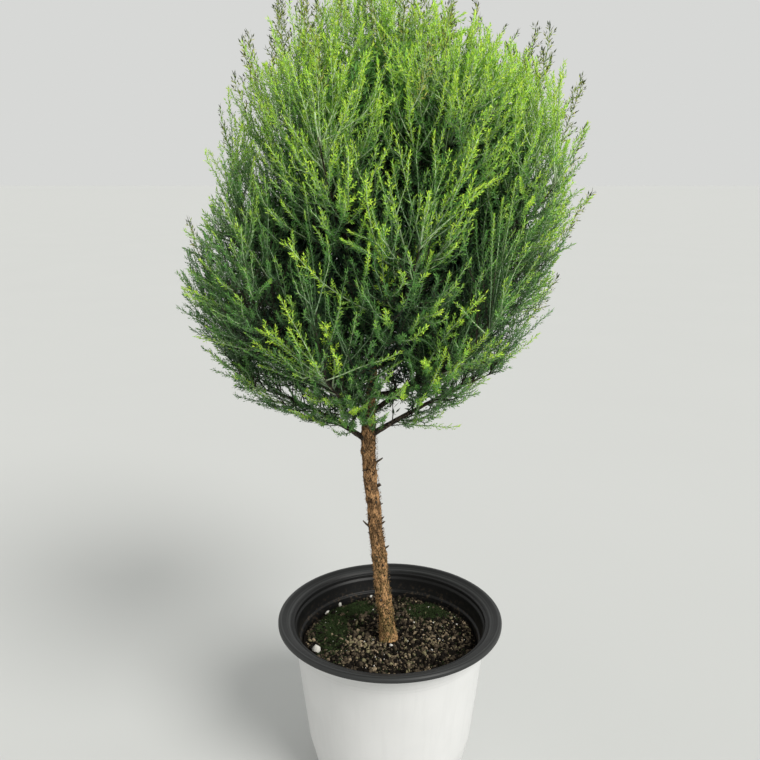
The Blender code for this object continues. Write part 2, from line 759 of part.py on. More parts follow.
def build_boughs(crown, collection, cutters):
    """The tapering limbs, cut to seat on the trunk, each ending where it enters its mass."""
    sheath = tube("trunk_sheath", crown.places, crown.radii + SEAT_GAP, cutters, None, resolution=2)
    mark_cutter(sheath)
    for number in range(LIMB_COUNT):
        name = f"bough_{number + 1:02d}"
        course = bend(*crown.limbs[number], np.linspace(0.0, bough_share(number), 4))
        radii = bough_radius(number) * np.linspace(1.0, BOUGH_TAPER, len(course))
        bark = plain_material(name + "_bark", BARK_COLOR, 0.85)
        bough = tube(name, course, radii, collection, bark, resolution=1)
        boolean(bough, "DIFFERENCE", operand=sheath)
        shade(bough)


def build_foliage(crown, collection):
    """Every mass, its needles a little yellower than those of the mass below."""
    for number in range(LIMB_COUNT + 1):
        height = number / LIMB_COUNT
        color = (1 - height) * np.array(LOW_LEAF_COLOR) + height * np.array(HIGH_LEAF_COLOR)
        needles = plain_material(f"foliage_{number + 1:02d}_needles", color, 0.6)
        build_mass(crown, number, collection, needles)


def main():
    clear_scene()
    parts = new_collection(PARTS)
    cutters = new_collection(CUTTERS)
    build_pot_wall(parts, cutters, plain_material("white_plastic", WALL_COLOR, 0.42))
    build_pot_liner(parts, plain_material("black_plastic", LINER_COLOR, 0.45))
    build_soil(parts, plain_material("potting_soil", SOIL_COLOR, 0.95))
    crown = Crown()
    build_trunk(crown, parts, plain_material("trunk_bark", BARK_COLOR, 0.85))
    build_boughs(crown, parts, cutters)
    build_foliage(crown, parts)


if __name__ == "__main__":
    main()
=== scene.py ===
"""Potted Conifer: the dressed model of a small conifer trained as a standard.

Laid out as an add-on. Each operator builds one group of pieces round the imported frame: the pot's
two shells, the soil with its grains and moss, the bark of the stem and limbs, the foliage, and the
stage. Lengths are metres, +Z is up and the origin is the middle of the pot's flat underside.

The crown grows by the same seeded rule as the solids: limbs leave the stem a golden angle apart and
aim at points that share the envelope's area, twigs leave each limb a golden angle apart, and every
twig bends towards the crown's direction of growth. Here each twig branches once more into plumes,
others fill the hollows between them, and the plumes carry side shoots and needles.
"""
import math
from functools import lru_cache
from itertools import product

import bpy
import numpy as np
from bpy.props import FloatProperty, FloatVectorProperty, IntProperty, PointerProperty
from bpy.types import Operator, Panel, PropertyGroup
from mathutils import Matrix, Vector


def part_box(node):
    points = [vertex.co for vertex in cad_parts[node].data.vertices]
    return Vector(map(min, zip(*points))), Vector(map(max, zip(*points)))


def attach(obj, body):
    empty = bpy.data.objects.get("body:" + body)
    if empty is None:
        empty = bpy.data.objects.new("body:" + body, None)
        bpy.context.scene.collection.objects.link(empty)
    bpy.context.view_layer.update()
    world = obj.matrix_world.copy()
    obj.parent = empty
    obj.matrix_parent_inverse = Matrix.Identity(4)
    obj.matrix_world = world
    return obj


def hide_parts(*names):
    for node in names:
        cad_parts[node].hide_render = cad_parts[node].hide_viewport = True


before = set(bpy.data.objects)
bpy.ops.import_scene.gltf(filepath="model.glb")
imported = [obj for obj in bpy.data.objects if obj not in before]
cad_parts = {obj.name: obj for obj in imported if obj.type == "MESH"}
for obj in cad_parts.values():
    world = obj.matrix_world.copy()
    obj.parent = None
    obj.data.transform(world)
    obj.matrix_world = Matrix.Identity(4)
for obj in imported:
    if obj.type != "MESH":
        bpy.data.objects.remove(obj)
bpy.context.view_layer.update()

bl_info = {
    "name": "Potted Conifer",
    "version": (1, 0, 0),
    "blender": (4, 5, 0),
    "location": "View3D > Sidebar > Conifer",
    "description": "Builds a feathery standard conifer in its nursery pot around the packed frame",
    "category": "Add Mesh",
}

BODY = "root"
TURN = 2 * math.pi
GOLDEN_ANGLE = math.radians(137.508)
UP = np.array([0.0, 0.0, 1.0])

# ---- Pot, as in the solids: depths are measured down from the rim
POT_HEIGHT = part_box("pot_liner")[1].z
RIM_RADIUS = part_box("pot_liner")[1].x
# The rim's outline, as insets from its radius and depths.
RIM_COURSE = (
    (0.0085, 0.0024), (0.0035, 0.0), (0.0013, 0.0), (0.0, 0.0012),
    (0.0, 0.0034), (0.0012, 0.0034),
)
LIP_THICKNESS = 0.0016
RIM_SHOULDER = 0.0006
RIM_INNER_DROP = 0.0075
# The outer wall's outline, as depths and radii.
WALL_COURSE = (
    (0.0040, 0.0700), (0.0115, 0.0690), (0.0120, 0.0684), (0.0900, 0.0595),
    (0.1137, 0.0538),
)
FOOT_TOP_RADIUS = 0.0508
FOOT_RADIUS = 0.0497
WALL_THICKNESS = 0.0013
LINER_THICKNESS = 0.0011
BASE_THICKNESS = 0.0018
LEDGE_DEPTH = 0.0165
LEDGE_WIDTH = 0.0014
LEDGE_SLOPE = 0.0009
SEAT_GAP = 0.0003
SLOT_COUNT = 8
SLOT_WIDTH = 0.007
SLOT_HEIGHT = 0.0048
SLOT_INNER_RADIUS = 0.041

# ---- Soil
SOIL_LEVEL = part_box("soil")[1].z
SOIL_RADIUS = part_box("soil")[1].x
SOIL_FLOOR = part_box("soil")[0].z
SOIL_HOLLOW = 0.0012
STEM_CLEARANCE = 0.0062       # no grain or moss lies nearer the middle
GROUND_SINK = 0.0012          # of the ground's mean under the soil's level
# Where moss, and where pale bits of bark, lie thickest: centre along X and Y, and half widths.
MOSS_PATCHES = (
    (-0.043, 0.012, 0.013, 0.026), (-0.030, 0.044, 0.018, 0.012), (0.034, 0.042, 0.022, 0.012),
)
BARK_PATCHES = (
    (-0.020, -0.004, 0.013, 0.012), (0.000, -0.030, 0.030, 0.020), (0.034, 0.002, 0.020, 0.026),
)

# Of the grains: the least size, how much larger they get, and the two shapes of the beta law.
CRUMB_SIZES = (0.0012, 0.0038, 1.1, 3.6)
CHIP_SIZES = (0.0009, 0.0046, 1.1, 4.2)
PERLITE_SIZES = (0.0006, 0.0020, 1.0, 4.2)
GRAIN_LIFT = 0.22             # of a grain's middle above the ground, in sizes
PEAT_SHARE = 0.58             # of the crumbs; the others are brown
PINK_SHARE = 0.60             # of the chips; the others are straw-coloured
STRAW_COLORS = ((0.11, 0.100, 0.056), (0.30, 0.26, 0.15))
TUFT = 12                     # blades of moss
BLADE_LENGTHS = (0.0010, 0.0022)
BLADE_WIDTHS = (0.0002, 0.0004)
# The white grains that stand out: X, Y and size.
LARGE_GRAINS = (
    (-0.0526, -0.0130, 0.0068), (-0.0386, 0.0504, 0.0048), (-0.0480, 0.0382, 0.0034),
    (-0.0143, 0.0600, 0.0034), (0.0010, -0.0098, 0.0040),
)

# ---- Stem and crown, as in the solids
# Height above the soil, X, Y and radius of the trunk.
TRUNK_COURSE = (
    (0.0000, -0.0010, 0.0000, 0.0068), (0.0040, -0.0012, 0.0001, 0.0059),
    (0.0140, -0.0026, 0.0004, 0.0053), (0.0460, -0.0062, 0.0011, 0.0052),
    (0.0870, -0.0099, 0.0016, 0.0047), (0.1300, -0.0139, 0.0008, 0.0048),
    (0.1560, -0.0146, 0.0002, 0.0050), (0.1720, -0.0138, 0.0004, 0.0037),
    (0.2150, -0.0108, 0.0016, 0.0028), (0.2700, -0.0066, 0.0010, 0.0019),
    (0.3150, -0.0030, 0.0000, 0.0013),
)
TRUNK_STEPS = 2
FORK_HEIGHT = 0.1500
BOUGH_SPAN = 0.1350
BOUGH_BIAS = 1.15
# Height above the soil, turn in degrees and length of the pruned stubs.
STUBS = (
    (0.030, 250.0, 0.0030), (0.048, 70.0, 0.0035), (0.068, 10.0, 0.0032),
    (0.083, 195.0, 0.0075), (0.087, 340.0, 0.0030), (0.104, 290.0, 0.0028),
    (0.118, 150.0, 0.0035), (0.133, 15.0, 0.0048), (0.141, 235.0, 0.0032),
)
# Height above the rim, radius and leaning axis of the envelope, from the fork to the top.
ENVELOPE = (
    (0.130, 0.004, -0.0146), (0.145, 0.037, -0.0150), (0.160, 0.066, -0.0165),
    (0.180, 0.091, -0.0180), (0.205, 0.111, -0.0185), (0.235, 0.123, -0.0170),
    (0.265, 0.125, -0.0095), (0.290, 0.123, 0.0000), (0.320, 0.119, 0.0050),
    (0.356, 0.116, 0.0070), (0.378, 0.102, 0.0060), (0.394, 0.073, -0.0020),
    (0.412, 0.050, -0.0110), (0.430, 0.022, -0.0160),
)
STEM_RADIUS = 0.005           # about the same from the soil to the fork
STEM_SINK = 0.0022            # how deep its bark goes into the ground
STEM_STEPS = 26               # rings to each row of the trunk's course
STEM_SIDES = 72
SCAR_COUNT = 120
SCAR_REACH = 0.17             # above the soil, up to where they lie
SCAR_LEAST = 0.004            # the trunk's radius where they end
LIMB_RINGS = 44
LIMB_SIDES = 12
LIMB_RADII = (0.0009, 0.0003)  # halfway out and at the end
ENVELOPE_HEIGHTS, ENVELOPE_WIDTHS, ENVELOPE_AXIS = np.array(ENVELOPE).T
SPUR_SPAN = (0.012, 0.152)    # above the soil, where the pegs of shed shoots stand
SPUR_LENGTHS = (0.0008, 0.0024)
SPUR_TAPER = (1.7, 1.25, 1.0, 0.9, 0.5)
LONG_SPUR = 0.0027            # longer ones are thicker stubs
SPUR_RADII = (0.00075, 0.00055)
FLAKE_SPAN = (0.003, 0.158)   # above the soil, where bark comes loose
FLAKE_LENGTHS = (0.0008, 0.0026)
FLAKE_WIDTHS = (0.0003, 0.0007)
SOURCE_DEPTH = 0.030
LIMB_COUNT = 22
LOWEST_SHARE = 0.13
HIGHEST_SHARE = 0.945
FIRST_AZIMUTH = math.radians(205.0)
LIMB_LIFT = 0.50
LIMB_FLARE = 0.012
LIMB_ARCH = 0.034
ARCHED_LIMBS = 6
TOP_PULL = (0.002, -0.001, 0.0)
BOUGH_RADII = (0.0024, 0.0016)
BOUGH_TAPER = 0.68
BOUGH_SHARES = (0.12, 0.28)
STEM_REACH = 0.80
END_SPRAY_OVERLAP = 0.03
TWIGS_PER_MASS = 15
TWIG_SPAN = (0.05, 0.98)
TWIG_ANGLE = math.radians(40.0)
TWIG_LIFT = 0.55
TURN_SPREAD = 0.3
SPRAY_LENGTH = 0.078
LENGTH_SPREAD = (0.85, 1.15)
TIP_SPREAD = (0.96, 1.03)
SHORTEST_SPRAY = 0.024
SPRAY_CORE = 0.0019
SHOOT_LENGTH = 0.0155
SHOOT_OUT = 0.72
SHOOT_FLOOR = 0.4
REACH_PLACES = (0.0, 0.16, 0.34, 0.62, 1.0)
REACH_SHARES = (0.0, 0.05, 1.0, 0.8, 0.0)
TRIAL_TURNS = (0.0, 0.5, -0.5)
TRIAL_SIZES = (1.0, 0.89, 0.78, 0.67, 0.56, 0.45)
SPRAY_SPACING = 0.68
SPACE_MARGIN = 0.0006
LIMB_MARGIN = 0.0006
BOUGH_POINTS = 6
SPACE_POINTS = 7
SEED = 4109

# ---- Finer growth, beyond the solids
FILL_SPACING = 0.40           # of two neighbours' reach, for the plumes between the others
FILL_SEED = 700
FILL_TURN = 1.9               # on from the first twigs
SIDE_PLACES = (0.10, 0.22, 0.34, 0.46, 0.58, 0.70)  # along a twig
SIDE_ANGLE = math.radians(38.0)
SIDE_LENGTH = 0.84            # of its twig
SIDE_LESS = 0.4               # less with its place along it
SIDE_LIFT = 0.80
UPRIGHT = 0.40                # of the finer growth, on top of the crown's own direction
SIDE_DEPTHS = (0.004, 0.017)  # least under the envelope, low and high
SLIM_SHARE = 0.5              # of side plumes that bear no side shoots
INNER_SPAN = (0.06, 0.84)     # of a limb, where short plumes fill the inside of the crown
INNER_COUNT = 24
FORK_SPAN = 0.40              # of a limb, how far out its short plumes may be fine ones
INNER_ANGLE = math.radians(52.0)
INNER_LENGTH = 0.044
INNER_DEPTHS = (0.034, 0.046)  # least of an inside plume, low and high
INNER_LEVELS = (0.170, 0.370)  # above the rim: lower down and higher up the crown is open
INNER_PAINTED_SHADE = 0.30            # painted shade: inside plumes keep this share of the outer plumes' brightness
INNER_COARSE = 3.0            # how much larger and rarer needles are there
HIDDEN_DEPTH = 0.042          # deeper than this, plumes keep only half their needles
HIDDEN_COARSE = 1.5           # but larger by this
FILLER_TRIALS = 14000         # places tried for plumes in the crown's hollows
FILLER_GAPS = (0.0068, 0.0072)  # least room of such a place, deep and near the skin
FILLER_LEVELS = (0.190, 0.400)  # above the rim, where they grow
FILLER_INSET = 0.004          # deeper than side plumes have to lie
FILLER_RISE = 0.012           # least, from its root up to such a place
FILLER_STEEP = 1.8            # weight of a root's distance sideways
FILLER_TIP = 0.008            # past its place
FILLER_BOW = 0.003
SHADE_SPAN = (0.37, 0.48)     # from the dark lower crown to its bright top
BUD_DEPTH = 0.010             # tips nearer the envelope may end in an olive-brown bud
BUD_HEIGHT = 0.46             # and only higher up than this
BUD_SHARE = 0.5
BUD = -1.0                    # marks a bud's needles, in place of a brightness
OLIVE = -2.0                  # marks the other needles of a spike
ACCENT_COARSE = 1.2
SPIKE_COARSE = 1.6
ACCENT_FEATHER = 2.0          # how much longer the accents' side shoots are
FEATHER = 0.0040              # the longer side shoots of a full plume
FULL_PLUME = 0.05             # a shorter plume's side shoots are shorter too
SPIKE_FOOT = 0.036            # from a spike's tip down to its foot
SPIKE_COUNT = 30              # round the upper crown, besides those named below
SPIKE_SPAN = (0.368, 0.420)   # their heights above the rim
SPIKE_STEP = 0.0026           # from side shoot to side shoot
SPIKE_TUFT = 0.0056           # the length of its side shoots
SPIKE_OFF = (-0.015, 0.010)   # of the named ones, along Y
SPIKE_PULL = 0.55             # of its length, back to its bend
SPIKE_SWAY = 0.0015
LOW_SAG = 0.004               # of the low twigs' middles
# Spikes that stand out of the crown's edge: their tips along X and Z.
SPIKES = (
    (-0.0915, 0.515), (-0.0728, 0.513), (-0.0677, 0.540), (-0.0557, 0.544), (-0.0450, 0.535),
    (-0.0323, 0.545), (-0.0137, 0.552), (0.0211, 0.540), (0.0375, 0.530), (0.0475, 0.518),
    (0.0601, 0.504), (0.0734, 0.507), (0.0830, 0.509), (0.0968, 0.503), (0.1184, 0.489),
    (0.1190, 0.463), (0.1240, 0.424), (0.1080, 0.369), (-0.0980, 0.494), (-0.1040, 0.463),
    (-0.1290, 0.406),
)
# Long twigs that stand out low down, from the limbs: their tips along X, Y and Z.
LOW_TWIGS = (
    (-0.1370, -0.010, 0.352), (-0.1192, 0.005, 0.308), (-0.0970, -0.040, 0.302),
    (-0.0798, -0.010, 0.287), (0.0450, -0.015, 0.274), (0.0985, 0.000, 0.332),
    (0.1046, -0.010, 0.350), (0.0400, 0.070, 0.290), (-0.0500, 0.075, 0.292),
)
SIDE_SHADE = (-0.130, -0.030, 0.72)     # along X, between which the left side is darker, and its least
# Plumes that stand out in front, painted brighter than their neighbours as highlights: foot and tip
# along X and Z, and the share of the envelope's depth at which the tip lies.
ACCENTS = (
    (-0.0085, 0.341, -0.0560, 0.4010, 0.97), (-0.0185, 0.385, -0.0130, 0.4330, 0.95),
    (-0.0200, 0.400, -0.0235, 0.4440, 0.97), (0.0130, 0.388, 0.0420, 0.4530, 0.97),
    (0.0220, 0.382, 0.0420, 0.4270, 0.95), (0.0010, 0.316, 0.0490, 0.3740, 0.95),
    (-0.0110, 0.350, -0.0040, 0.4110, 0.92), (-0.0290, 0.330, -0.0370, 0.3590, 0.92),
    (-0.0480, 0.325, -0.0680, 0.3560, 0.95),
)
ACCENT_DEPTH = 0.72           # of the tip's share, for the foot
ACCENT_BEND = 0.2             # of the way from foot to tip, to its bend
# What a plume is: a twig on a limb, a side plume, one inside the crown, an accent or a spike.
TWIG, SIDE, INNER, ACCENT, SPIKE = range(5)
WAVE = 0.0011                 # of every plume's axis from side to side
WAVE_TURNS = 1.4              # of that wave, from foot to tip
LIT_DEPTH = (0.048, 0.078)    # how deep the painted light reaches, low and high
LIGHT = (0.21, 0.42, 0.62)    # painted light of every needle, and how much more at the tip and at the top, where it is also the paler new growth
MOOD = (1.45, 0.212)          # spread of the plumes' brightness, and what evens it out
# Painted highlights on the accents, and a little on the spikes.
ACCENT_LIGHT = 0.58
SPIKE_LIGHT = 0.10
BRIGHTEST = 0.999
LEAN_SPREAD = 6.0             # degrees
THICKER = 0.7                 # power of coarseness by which needles are wider and rarer
# Places along a plume or a shoot, and the angles in degrees at which growth leans from it there.
SHOOT_LEAN = ((0.0, 1.0), (60.0, 36.0))
SHOOT_NEEDLE_LEAN = ((0.0, 0.7, 1.0), (62.0, 48.0, 18.0))
PLUME_NEEDLE_LEAN = ((0.0, 0.8, 1.0), (56.0, 48.0, 20.0))
# Places along a plume, and the shares of its longest side shoots that those there have.
SHOOT_SWELL = ((0.0, 0.12, 0.40, 0.80, 1.0), (0.5, 0.8, 1.0, 0.85, 0.45))
SHOOT_SPREAD = (0.75, 1.2)    # of the lengths of side shoots
SHOOT_PULLS = (0.7, 0.2, 0.3)  # of a shoot's outer half: on outwards, up and along the plume
BUD_ENDS = (0.88, 0.90, 0.74)  # from where the shoots, the plume's own needles and a shoot's are buds
BUD_START = 0.5               # from here up, some of its shoots end in buds
BUD_SOME = 0.35
SLIM_STEP = 0.74              # from needle to needle on a slim plume, in needle spacings
PLUME_STEP = 1.6              # and on the others
# Steps of tone and painted light into which the needles are sorted, each with its own colour.
TONE_AND_LIGHT_STEPS = 9
TWIG_LIGHTS = (0.14, 0.34, 2.0)  # of the tone and painted light: woody and dark below the first, from here green, from here pale, and its end
SHOOT_LIGHT = 0.36            # from here side shoots have the brighter skin; those below, in painted shade, and the spikes' have the dark one
AXIS_SPLIT = 0.45             # where along a plume its twig's skin may change
AXIS_END = 0.99
AXIS_RADIUS = 0.00062
SHOOT_WIDTH = 0.0006
FLOOR_REACH = 40.0
FLOOR_DROP = 0.0004           # below the pot's foot
KEY_TURN = (math.radians(48.0), 0.0, math.radians(42.0))
KEY_ANGLE = math.radians(28.0)
KEY_COLOR = (1.0, 0.985, 0.95)
SENSOR = 36.0
ROOM_TURN = math.radians(35.0)        # of the light from all round, from the right to the back
ROOM_SPAN = (-0.9, 0.1)               # from its dark side to its pale one, across that turn
ROOM_DARK = (0.80, 0.79, 0.76)
ROOM_PALE = (1.0, 1.01, 0.99)
MASSES = [f"foliage_{number + 1:02d}" for number in range(LIMB_COUNT + 1)]
BOUGHS = [f"bough_{number + 1:02d}" for number in range(LIMB_COUNT)]


# ---- Settings

def color_setting(name, description, default):
    return FloatVectorProperty(name=name, description=description, subtype="COLOR",
                               default=default, min=0, max=1)


def length_setting(name, description, default, least=0.0):
    return FloatProperty(name=name, description=description, unit="LENGTH", default=default,
                         min=least)


def count_setting(name, description, default, least=1):
    return IntProperty(name=name, description=description, default=default, min=least)


class PotSettings(PropertyGroup):
    columns: count_setting("Columns", "Faces round the pot", 160, 16)
    wall_color: color_setting("Wall", "White of the outer wall", (0.75, 0.75, 0.745))
    liner_color: color_setting("Liner", "Black of the inner wall and rim", (0.0048, 0.0050, 0.0050))
    corner: length_setting("Corner", "Rounding of the moulded corners", 0.0005)


class SoilSettings(PropertyGroup):
    crumbs: count_setting("Crumbs", "Crumbs of peat", 4200)
    perlite: count_setting("Perlite", "White grains", 170)
    bark_bits: count_setting("Bark bits", "Pale chips of bark", 900)
    moss: count_setting("Moss", "Blades of moss", 34000)
    relief: length_setting("Relief", "Unevenness of the ground", 0.0011)
    peat_color: color_setting("Peat", "Dark crumbs", (0.0050, 0.0040, 0.0031))
    bark_color: color_setting("Bark bits", "Pale chips", (0.188, 0.146, 0.096))
    perlite_color: color_setting("Perlite", "White grains", (0.74, 0.72, 0.66))
    moss_color: color_setting("Moss", "Moss", (0.024, 0.037, 0.014))


class WoodSettings(PropertyGroup):
    relief: length_setting("Relief", "Depth of the bark's furrows", 0.00042)
    flakes: count_setting("Flakes", "Loose strips of bark", 2600)
    spurs: count_setting("Spurs", "Short pegs of shed shoots", 90)
    bark_color: color_setting("Bark", "Reddish bark", (0.204, 0.116, 0.053))
    twig_color: color_setting("Twigs", "Dark twigs inside the crown", (0.046, 0.036, 0.026))
    foot_color: color_setting("Foot", "Olive bark near the soil", (0.22, 0.16, 0.060))


class FoliageSettings(PropertyGroup):
    shoot_spacing: length_setting("Shoot spacing", "Along a plume, shoot to shoot", 0.0022, 0.001)
    needle_length: length_setting("Needle length", "Length of a needle", 0.0020, 0.0005)
    needle_width: length_setting("Needle width", "Widest part of a needle", 0.00060, 0.0001)
    needle_spacing: length_setting("Needle spacing", "Along a shoot", 0.00060, 0.0002)
    # From deep to tip, the needles' colours follow their tone and painted light: the deep one is
    # painted shade, and the tip one is paler new growth and painted light both.
    painted_shade_color: color_setting("Deep", "Needles deep in the crown", (0.010, 0.030, 0.020))
    middle_color: color_setting("Middle", "Needles between", (0.108, 0.316, 0.064))
    tip_color: color_setting("Tips", "Needles at the brightest tips", (0.500, 0.870, 0.075))
    bud_color: color_setting("Buds", "Olive-brown buds of outer tips", (0.060, 0.088, 0.026))
    olive_color: color_setting("Spikes", "Olive needles of the spikes", (0.300, 0.410, 0.080))


class StageSettings(PropertyGroup):
    lens: FloatProperty(name="Lens", description="Focal length on a 36 mm sensor, in millimetres",
                        default=38.84, min=1)
    place: FloatVectorProperty(name="Camera", description="Place of the camera",
                               subtype="TRANSLATION", default=(-0.0071, -0.5332, 0.4337))
    pitch: FloatProperty(name="Pitch", description="How far the camera looks down",
                         subtype="ANGLE", default=math.radians(13.95))
    key_light: FloatProperty(name="Key light", description="Strength of the soft key light",
                             default=2.5, min=0)
    sky: FloatProperty(name="Sky", description="Strength of the light from all round",
                       default=0.68, min=0)
    floor_color: color_setting("Floor", "Pale floor", (0.595, 0.605, 0.595))


class ConiferSettings(PropertyGroup):
    pot: PointerProperty(type=PotSettings)
    soil: PointerProperty(type=SoilSettings)
    wood: PointerProperty(type=WoodSettings)
    foliage: PointerProperty(type=FoliageSettings)
    stage: PointerProperty(type=StageSettings)


# ---- Shader maths

class Value:
    """An output of a node. Python's operators on it add Math nodes."""

    def __init__(self, nodes, socket):
        self.nodes = nodes
        self.socket = socket

    def math(self, operation, *operands):
        return self.nodes.node("ShaderNodeMath", {"operation": operation}, enumerate(operands))

    def __add__(self, other):
        return self.math("ADD", self, other)

    def __radd__(self, other):
        return self.math("ADD", other, self)

    def __sub__(self, other):
        return self.math("SUBTRACT", self, other)

    def __rsub__(self, other):
        return self.math("SUBTRACT", other, self)

    def __mul__(self, other):
        return self.math("MULTIPLY", self, other)

    def __rmul__(self, other):
        return self.math("MULTIPLY", other, self)

    def __truediv__(self, other):
        return self.math("DIVIDE", self, other)

    def __rtruediv__(self, other):
        return self.math("DIVIDE", other, self)


class Nodes:
    """The nodes of a material or a world, with one method for each kind that is used often."""

    def __init__(self, tree):
        self.tree = tree

    def feed(self, socket, value):
        if isinstance(value, Value):
            self.tree.links.new(value.socket, socket)
        elif isinstance(value, (tuple, list)) and len(value) == 3 and socket.type == "RGBA":
            socket.default_value = (*value, 1.0)
        else:
            socket.default_value = value

    def node(self, kind, settings=None, inputs=(), output=0):
        """Any node: its type, then its settings or ramp stops, then its sockets."""
        made = self.tree.nodes.new(kind)
        for name, setting in (settings or {}).items():
            if name == "stops":
                self.set_stops(made.color_ramp, setting)
            else:
                setattr(made, name, setting)
        for key, value in inputs:
            self.feed(made.inputs[key], value)
        return Value(self, made.outputs[output])

    def set_stops(self, ramp, stops):
        while len(ramp.elements) < len(stops):
            ramp.elements.new(1.0)
        for element, (place, shade) in zip(ramp.elements, stops):
            element.position = place
            element.color = (shade, shade, shade, 1.0)

    def coordinates(self, stretch=(1.0, 1.0, 1.0), attribute=None):
        if attribute:
            place = self.node("ShaderNodeAttribute", {"attribute_name": attribute}, (), "Vector")
        else:
            place = self.node("ShaderNodeTexCoord", {}, (), "Object")
        return self.node("ShaderNodeMapping", {}, (("Vector", place), ("Scale", stretch)))

    def noise(self, place, scale, detail=3.0, roughness=0.55):
        return self.node("ShaderNodeTexNoise", {}, (("Vector", place), ("Scale", scale),
                                                    ("Detail", detail), ("Roughness", roughness)))

    def cells(self, place, scale):
        return self.node("ShaderNodeTexVoronoi", {}, (("Vector", place), ("Scale", scale)))

    def ramp(self, value, *stops):
        return self.node("ShaderNodeValToRGB", {"stops": stops}, (("Fac", value),))

    def mix(self, factor, first, second):
        return self.node("ShaderNodeMix", {"data_type": "RGBA"},
                         ((0, factor), (6, first), (7, second)), 2)

    def height(self, place):
        return self.node("ShaderNodeSeparateXYZ", {}, (("Vector", place),), "Z")


class Surface(Nodes):
    """A Principled material that is put together from nodes."""

    def __init__(self, name, roughness, specular_ior_level):
        self.material = bpy.data.materials.new(name)
        self.material.use_nodes = True
        super().__init__(self.material.node_tree)
        self.shader = self.tree.nodes["Principled BSDF"]
        self.put("Roughness", roughness)
        self.put("Specular IOR Level", specular_ior_level)

    def put(self, name, value):
        self.feed(self.shader.inputs[name], value)

    def bump(self, height, depth, strength=1.0):
        normal = self.node("ShaderNodeBump", {}, (("Height", height), ("Distance", depth),
                                                  ("Strength", strength)))
        self.put("Normal", normal)


def shade_of(color, factor):
    return tuple(min(1.0, channel * factor) for channel in color)


def white_plastic(settings):
    """Satin white plastic: faint clouding, a little dust low down and round the foot, and painted
    shade along the moulded line below the rim.
    """
    surface = Surface("white_plastic", 0.4, specular_ior_level=0.45)
    place = surface.coordinates()
    cloud = surface.noise(place, 18.0)
    grime = surface.noise(place, 120.0, 5.0)
    low = surface.ramp(surface.height(place) / POT_HEIGHT, (0.0, 1.0), (0.16, 0.15), (0.4, 0.0))
    white = tuple(settings.wall_color)
    clouded = surface.mix(surface.ramp(cloud, (0.35, 0.0), (0.70, 1.0)), white,
                          shade_of(white, 0.93))
    dust = low * surface.ramp(grime, (0.45, 0.0), (0.75, 0.6))
    streaks = surface.noise(surface.coordinates((1.0, 1.0, 0.02)), 230.0, 3.0)
    streaked = surface.mix(surface.ramp(streaks, (0.50, 0.0), (0.66, 0.4)), clouded,
                           shade_of(white, 0.91))
    # The moulded line below the rim: a groove in the bump, and along it a band of painted shade in the
    # colour.
    line = surface.ramp(surface.height(place) / POT_HEIGHT, (0.848, 0.0), (0.853, 1.0),
                        (0.856, 0.2), (0.868, 0.2), (0.871, 0.9), (0.876, 0.0))
    with_painted_groove_shade = surface.mix(0.5 * line, streaked, shade_of(white, 0.84))
    surface.put("Base Color", surface.mix(dust, with_painted_groove_shade, (0.42, 0.38, 0.31)))
    surface.put("Roughness", 0.36 + 0.16 * cloud + 0.2 * dust)
    surface.bump(line + 0.2 * streaks + 0.1 * surface.noise(place, 900.0, 2.0), 0.00012, 0.6)
    return surface.material


def black_plastic(settings):
    """Black plastic gone a little grey: moulding rings, scuffs and dried splashes of soil, with
    painted highlights along the rim's edges and painted shade on the inner wall.
    """
    surface = Surface("black_plastic", 0.45, specular_ior_level=0.3)
    place = surface.coordinates()
    scuffs = surface.noise(surface.coordinates((1.0, 1.0, 6.0)), 70.0, 5.0, 0.7)
    film = surface.noise(place, 26.0, 4.0)
    depth = POT_HEIGHT - surface.height(place)
    inside = surface.ramp(depth / 0.03, (0.30, 0.0), (0.62, 1.0))
    black = tuple(settings.liner_color)
    greyed = surface.mix(surface.ramp(film, (0.38, 0.0), (0.72, 1.0)), black,
                         shade_of(black, 1.6))
    radius = surface.node("ShaderNodeVectorMath", {"operation": "LENGTH"},
                          ((0, surface.coordinates((1.0, 1.0, 0.0))),), "Value")
    turning = surface.noise(radius, 620.0, 2.0, 0.7)
    streaks = surface.ramp(turning * 0.8 + 0.2 * scuffs, (0.48, 0.0), (0.60, 0.8))
    scuffs_and_painted_light = surface.mix(streaks, greyed, shade_of(black, 4.8))
    # Painted highlights: thin paler lines along the edges of the rim's band and along its lip.
    painted_edge_highlights = surface.ramp(radius / RIM_RADIUS, (0.890, 0.0), (0.902, 0.8), (0.915, 0.1),
                         (0.962, 0.0), (0.972, 0.9), (0.982, 0.2), (0.992, 0.6))
    with_painted_highlights = surface.mix(painted_edge_highlights, scuffs_and_painted_light, shade_of(black, 9.0))
    # Painted shade: the inner wall inside the rim is darkened.
    painted_inner_shade = surface.ramp(radius / RIM_RADIUS, (0.875, 1.0), (0.892, 0.0))
    scuffs_and_painted_light = surface.mix(0.7 * painted_inner_shade, with_painted_highlights, shade_of(black, 0.25))
    splashes = inside * surface.ramp(surface.noise(place, 420.0, 3.0), (0.56, 0.0), (0.62, 0.8))
    surface.put("Base Color", surface.mix(splashes, scuffs_and_painted_light, (0.055, 0.040, 0.026)))
    surface.put("Roughness", 0.33 + 0.28 * film + 0.25 * splashes)
    rings = surface.noise(surface.coordinates((0.0, 0.0, 1.0)), 1400.0, 1.0)
    surface.bump(rings + turning + 0.6 * surface.noise(place, 1100.0, 2.0), 0.00005, 0.8)
    return surface.material


